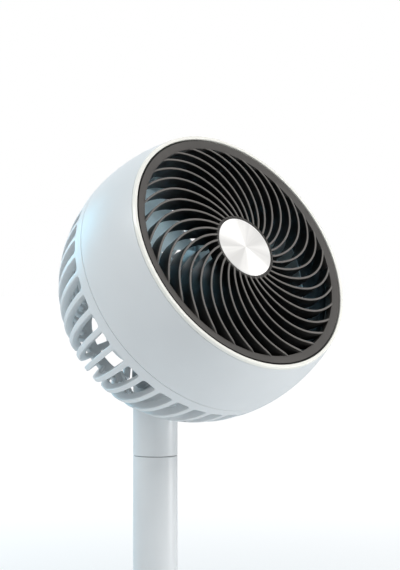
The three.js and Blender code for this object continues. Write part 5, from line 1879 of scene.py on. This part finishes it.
@dataclass(frozen=True)
class Base(Assembly):
    """The round weighted base with its pad, key panel and power inlet."""

    radius: float = 0.115
    edge_height: float = 0.016
    top_height: float = 0.032
    shoulder: float = 0.006  # how much higher than its edge the cone ends
    wall: float = 0.003
    corner: Point = (0.002, 0.001)  # of the wall's inside below the shoulder, inwards and up
    cone_start: float = 0.102
    fillet_turn: float = 84.0  # degrees
    collar_radius: float = 0.026
    stem_radius: float = STEM_RADIUS
    rounding: float = 0.0006
    fine_rounding: float = 0.0003
    tread_count: int = 9
    tread_start: float = 0.012
    tread_pitch: float = 0.0092
    tread_width: float = 0.0025
    tread_side: float = 0.0005
    tread_depth: float = 0.0006
    panel_place: float = 0.074
    panel_length: float = 0.084
    panel_width: float = 0.024
    panel_thickness: float = 0.0024
    panel_proud: float = 0.0004
    pocket: Point = (-0.012, 0.008)  # from below the panel's face to above it
    key_hole: Point = (0.001, 0.003)  # how far its cutter runs on below the panel, and the cutter's top
    button_radius: float = 0.006
    button_pitch: float = 0.017
    button_proud: float = 0.0012
    button_edge: float = 0.0006
    button_dish: Point = (0.78, 0.0004)  # share of its radius, and depth
    button_flange: Point = (0.0015, 0.001)  # how far out, and how thick
    button_rounding: float = 0.0002
    stalk_radius: float = 0.002
    stalk_foot: float = 0.0047  # below the panel's face

    BEHIND = 0.01  # past the cover's rear

    def slope(self) -> float:
        """How far the top falls for each unit away from the stem."""
        return (self.top_height - self.edge_height - self.shoulder) / (self.cone_start - self.collar_radius)

    def top(self, radius: float) -> float:
        """The top's height at a radius."""
        return self.top_height - self.slope() * (radius - self.collar_radius)

    def panel_frame(self) -> Matrix:
        """A placement on the cone at the panel: X across, Y up the slope and Z out of it."""
        tip = Matrix.Rotation(math.atan(self.slope()), 4, "X")
        return Matrix.Translation((0, -self.panel_place, self.top(self.panel_place))) @ tip

    def build(self) -> None:
        """Makes the shell, the pad and plate, the panel with its keys, and the inlet."""
        self.shell()
        self.pad()
        self.shop.refined("bottom_plate", Look.BLACK_PLASTIC, Body.BASE)
        self.panel()
        self.shop.refined("power_inlet", Look.BLACK_PLASTIC, Body.BASE, self.fine_rounding)

    def shell(self) -> None:
        """Makes the turned cover, with a pocket for the panel and a port for the inlet."""
        low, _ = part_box("base_shell")
        hole = self.stem_radius + GAP
        inner = self.radius - self.wall
        width, height = self.radius - self.cone_start, self.top(self.cone_start) - self.edge_height
        fillet = [
            (self.cone_start + width * math.cos(a), self.edge_height + height * math.sin(a))
            for a in steps(0, math.radians(self.fillet_turn), 14)
        ]
        above = [(self.collar_radius, self.top_height), (hole, self.top_height)]
        under = [
            (hole, self.top_height - self.wall),
            (self.collar_radius, self.top_height - self.wall),
            (self.cone_start, self.top(self.cone_start) - self.wall),
            (inner - self.corner[0], self.edge_height + self.corner[1]),
            (inner, low.z),
        ]
        profile = [(self.radius, low.z), *fillet, *above, *under]
        shell = turned("cover", profile, self.shop.floor, FINE, self.rounding)
        outline = stadium(self.panel_length + 2 * GAP, self.panel_width + 2 * GAP)
        pocket = extruded("pocket", outline, *self.pocket, self.panel_frame())
        inlet_low, inlet_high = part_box("power_inlet")
        left, right = inlet_low.x - GAP, inlet_high.x + GAP
        outline = box_of(left, right, inlet_low.y - GAP, inlet_high.y + self.BEHIND)
        port = extruded("port", outline, inlet_low.z - GAP, inlet_high.z + GAP, self.shop.floor)
        shell = cut("cover", shell, pocket, port)
        self.shop.piece("base_cover", shell, Look.SHELL_WHITE, Body.BASE, "base_shell")

    def pad(self) -> None:
        """Makes the rubber pad, with rings of tread in its underside."""
        low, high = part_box("anti_slip_pad")
        foot, floor = low.z, low.z + self.tread_depth
        tread: list[Point] = []
        for i in range(self.tread_count):
            start = self.tread_start + i * self.tread_pitch
            inner, outer = start + self.tread_side, start + self.tread_width - self.tread_side
            tread += [(start, foot), (inner, floor), (outer, floor), (start + self.tread_width, foot)]
        profile = [(0, foot), *tread, (high.x, foot), (high.x, high.z), (0, high.z)]
        pad = turned("pad", profile, self.shop.floor, FINE, self.fine_rounding)
        self.shop.piece("grip_pad", pad, Look.RUBBER, Body.BASE, "anti_slip_pad")

    def panel(self) -> None:
        """Makes the dark panel and its four keys."""
        low = self.panel_proud - self.panel_thickness
        frame = self.panel_frame()
        outline = stadium(self.panel_length, self.panel_width, 24)
        plate = extruded("panel", outline, low, self.panel_proud, frame)
        keys = len(KEY_BODIES)
        shifts = [(i - (keys - 1) / 2) * self.button_pitch for i in range(keys)]
        places = [frame @ Matrix.Translation((shift, 0, 0)) for shift in shifts]
        past, above = self.key_hole
        hole = box_of(0, self.button_radius + RUN, low - past, above)
        tools = [turned("hole", hole, place, SMALL) for place in places]
        plate = softened(cut("panel", plate, *tools), self.fine_rounding)
        self.shop.piece("key_panel", plate, Look.PANEL_BLACK, Body.BASE, "control_panel")
        for body, place in zip(KEY_BODIES, places):
            self.key(body, place)

    def key(self, body: Body, place: Matrix) -> None:
        """Makes one push button with a dished top.

        Args:
            body: The button's body.
            place: Where it stands on the panel.
        """
        top = self.panel_proud + self.button_proud
        flange = self.panel_proud - self.panel_thickness - GAP
        foot = self.panel_proud - self.stalk_foot
        radius, edge = self.button_radius, self.button_edge
        reach, thickness = self.button_flange
        share_dished, depth = self.button_dish
        dish = [(radius * share_dished * share, top - depth * (1 - share**2)) for share in steps(1, 0, 8)]
        profile = [
            (0, foot),
            (self.stalk_radius, foot),
            (self.stalk_radius, flange - thickness),
            (radius + reach, flange - thickness),
            (radius + reach, flange),
            (radius, flange),
            (radius, top - edge),
            (radius - edge, top),
            *dish,
        ]
        key = turned("key", profile, place, SMALL, self.button_rounding)
        self.shop.piece(f"{body.value}_cap", key, Look.KEY_WHITE, body, body.value)


# ---------------------------------------------------------------- studio
@dataclass(frozen=True)
class Photograph:
    """Where the photograph was taken from."""

    width: int = 400  # of the picture, in pixels
    azimuth: float = -42.75  # degrees from straight ahead
    elevation: float = 0.0
    distance: float = 1.590  # from the grille ring's centre
    focal_pixels: float = 1818.0
    middle: Point = (200.0, 285.0)  # of the picture, in pixels
    ring_centre: Point = (242.1, 249.3)  # where the ring's centre lies in it
    sensor: float = 36.0  # millimetres
    farthest: float = 50.0

    def build(self, target: Vector) -> None:
        """Sets the camera so that the grille ring's centre falls on its place in the picture.

        Args:
            target: The ring's centre in the fan's frame.
        """
        turn, rise = math.radians(self.azimuth), math.radians(self.elevation)
        back = Vector((math.sin(turn) * math.cos(rise), -math.cos(turn) * math.cos(rise), math.sin(rise)))
        right = Vector((math.cos(turn), math.sin(turn), 0))
        upward = back.cross(right)
        scale = self.distance / self.focal_pixels
        over = (self.ring_centre[0] - self.middle[0]) * scale
        above = (self.middle[1] - self.ring_centre[1]) * scale
        spot = target + back * self.distance - right * over - upward * above
        data = bpy.data.cameras.new("camera")
        data.sensor_fit = "HORIZONTAL"
        data.sensor_width = self.sensor
        data.lens = self.focal_pixels / self.width * self.sensor
        data.clip_end = self.farthest
        camera = placed("camera", data)
        turn_matrix = Matrix((right, upward, back)).transposed().to_4x4()
        camera.matrix_world = Matrix.Translation(spot) @ turn_matrix
        bpy.context.scene.camera = camera


@dataclass(frozen=True)
class Lamp:
    """A soft square lamp."""

    name: str
    spot: tuple[float, float, float]
    aim: tuple[float, float, float]
    size: float
    power: float
    colour: Colour

    def build(self) -> None:
        """Hangs the lamp."""
        data = bpy.data.lights.new(self.name, "AREA")
        data.shape, data.size, data.energy, data.color = "SQUARE", self.size, self.power, self.colour
        lamp = placed(self.name, data)
        lamp.visible_camera = False
        turn = (Vector(self.aim) - Vector(self.spot)).to_track_quat("-Z", "Y")
        lamp.matrix_world = Matrix.Translation(self.spot) @ turn.to_matrix().to_4x4()


class Studio:
    """The floor, the white surroundings and the lamps."""

    SKY_COLOUR = (0.97, 0.985, 1.0, 1)
    SKY_STRENGTH = 0.315
    WHITE = (1, 1, 1, 1)
    FLOOR_SIZE = 200.0
    FLOOR_DROP = 0.0002  # below the base's pad
    FLOOR_COLOUR = (0.86, 0.87, 0.88, 1)
    FLOOR_ROUGHNESS = 0.9
    FLOOR_GLOW = 1.5
    NEAR_GLOW = 0.22  # share of the floor's own light for the camera at the base, where the shadow lies
    FAR_GLOW = 0.62  # and far off
    NEAR = 0.25
    FAR = 1.3
    BOUNCE_SHARE = 0.08  # and for what the floor lights
    LAMPS = (
        Lamp("left_lamp", (-1.50, 0.55, 1.90), (0, -0.08, 0.36), 1.1, 20.0, (0.95, 0.99, 1.0)),
        Lamp("rim_lamp", (-0.3, 1.9, 0.8), (0, -0.05, 0.36), 0.9, 9.0, (0.2, 0.72, 1.0)),
        Lamp("low_lamp", (0.70, -0.74, 0.10), (0, -0.08, 0.30), 0.35, 2.7, (1.0, 0.99, 0.98)),
        Lamp("front_lamp", (0.35, -1.6, 1.5), (0, -0.1, 0.36), 0.8, 16.0, (1.0, 1.0, 0.99)),
    )

    def build(self) -> None:
        """Sets up the whole studio."""
        self.world()
        self.floor()
        for lamp in self.LAMPS:
            lamp.build()
        bpy.context.scene.view_settings.view_transform = "Standard"

    @staticmethod
    def seen_directly(sheet: NodeTree, mirrored: bool) -> bpy.types.NodeSocket:
        """Adds a factor that is 1 for what the camera sees directly.

        Args:
            sheet: The tree that it goes in.
            mirrored: Whether it is also 1 in gloss and through glass.

        Returns:
            The factor socket.
        """
        path = sheet.add("ShaderNodeLightPath")
        factor = path.outputs["Is Camera Ray"]
        for name in ("Is Glossy Ray", "Is Transmission Ray") if mirrored else ():
            most = sheet.add("ShaderNodeMath", operation="MAXIMUM")
            sheet.link(factor, most.inputs[0])
            sheet.link(path.outputs[name], most.inputs[1])
            factor = most.outputs["Value"]
        return factor

    @staticmethod
    def mixed(
        sheet: NodeTree, share: bpy.types.NodeSocket, *shaders: bpy.types.NodeSocket
    ) -> bpy.types.NodeSocket:
        """Adds a mix of two shaders.

        Args:
            sheet: The tree that it goes in.
            share: The second shader's share.
            *shaders: Both shaders' sockets.

        Returns:
            The mix's socket.
        """
        mix = sheet.add("ShaderNodeMixShader")
        sheet.link(share, mix.inputs["Fac"])
        for i, shader in enumerate(shaders, 1):
            sheet.link(shader, mix.inputs[i])
        return mix.outputs["Shader"]

    def world(self) -> None:
        """White all round for the camera and in gloss, and a softer, faintly blue light on the fan."""
        world = bpy.data.worlds.new("surroundings")
        bpy.context.scene.world = world
        world.use_nodes = True
        sheet = NodeTree(world.node_tree)
        light = sheet.tree.nodes["Background"]
        sheet.fix(light, {"Color": self.SKY_COLOUR, "Strength": self.SKY_STRENGTH})
        white = sheet.add("ShaderNodeBackground")
        sheet.fix(white, {"Color": self.WHITE, "Strength": 1.0})
        seen = self.seen_directly(sheet, True)
        mix = self.mixed(sheet, seen, light.outputs["Background"], white.outputs["Background"])
        sheet.link(mix, sheet.tree.nodes["World Output"].inputs["Surface"])

    def far_off(self, sheet: NodeTree) -> bpy.types.NodeSocket:
        """Adds the floor's own share of light for the camera, which grows with the distance from the fan.

        Args:
            sheet: The tree that it goes in.

        Returns:
            The share's socket.
        """
        place = sheet.add("ShaderNodeTexCoord")
        distance = sheet.add("ShaderNodeVectorMath", operation="LENGTH")
        sheet.link(place.outputs["Object"], distance.inputs[0])
        share = sheet.add("ShaderNodeMapRange")
        sheet.fix(share, {"From Min": self.NEAR, "From Max": self.FAR})
        low, high = self.NEAR_GLOW - self.BOUNCE_SHARE, self.FAR_GLOW - self.BOUNCE_SHARE
        sheet.fix(share, {"To Min": low, "To Max": high})
        sheet.link(distance.outputs["Value"], share.inputs["Value"])
        return share.outputs["Result"]

    def floor(self) -> None:
        """A plain pale floor that the camera sees almost white, with the fan's shadow on it."""
        half = self.FLOOR_SIZE / 2
        model = bmesh.new()
        corners = [(-half, -half), (half, -half), (half, half), (-half, half)]
        model.faces.new([model.verts.new((x, y, -self.FLOOR_DROP)) for x, y in corners])
        mesh = bpy.data.meshes.new("floor")
        model.to_mesh(mesh)
        model.free()
        sheet = NodeSheet("floor")
        sheet.fix(sheet.shader, {"Base Color": self.FLOOR_COLOUR, "Roughness": self.FLOOR_ROUGHNESS})
        glow = sheet.add("ShaderNodeEmission")
        sheet.fix(glow, {"Strength": self.FLOOR_GLOW})
        share = sheet.add("ShaderNodeMath", operation="MULTIPLY_ADD")
        sheet.link(self.seen_directly(sheet, False), share.inputs[0])
        sheet.link(self.far_off(sheet), share.inputs[1])
        share.inputs[2].default_value = self.BOUNCE_SHARE
        lit, glowing = sheet.shader.outputs["BSDF"], glow.outputs["Emission"]
        mix = self.mixed(sheet, share.outputs["Value"], lit, glowing)
        sheet.link(mix, sheet.tree.nodes["Material Output"].inputs["Surface"])
        mesh.materials.append(sheet.material)
        floor = placed("floor", mesh)
        floor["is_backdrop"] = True


def plain(corners: Iterable[Vector]) -> list[list[float]]:
    """Two corners as plain lists of numbers."""
    return [[float(value) for value in corner] for corner in corners]


def main() -> None:
    """Builds the fan's pieces round the frame, the studio and the camera."""
    logging.basicConfig(level=logging.INFO, format="%(name)s %(message)s")
    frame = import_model()
    solid_box = plain(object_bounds())
    shop = Workshop(frame)
    shop.dress_solids()
    for group in (Casing, Grille, Cage, Duct, Impeller, Motor, TiltJoint, Column, Base):
        group(shop).build()
    Studio().build()
    Photograph().build(shop.head.translation)
    {"cad": solid_box, "visual": plain(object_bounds())}


if __name__ == "__main__":
    main()
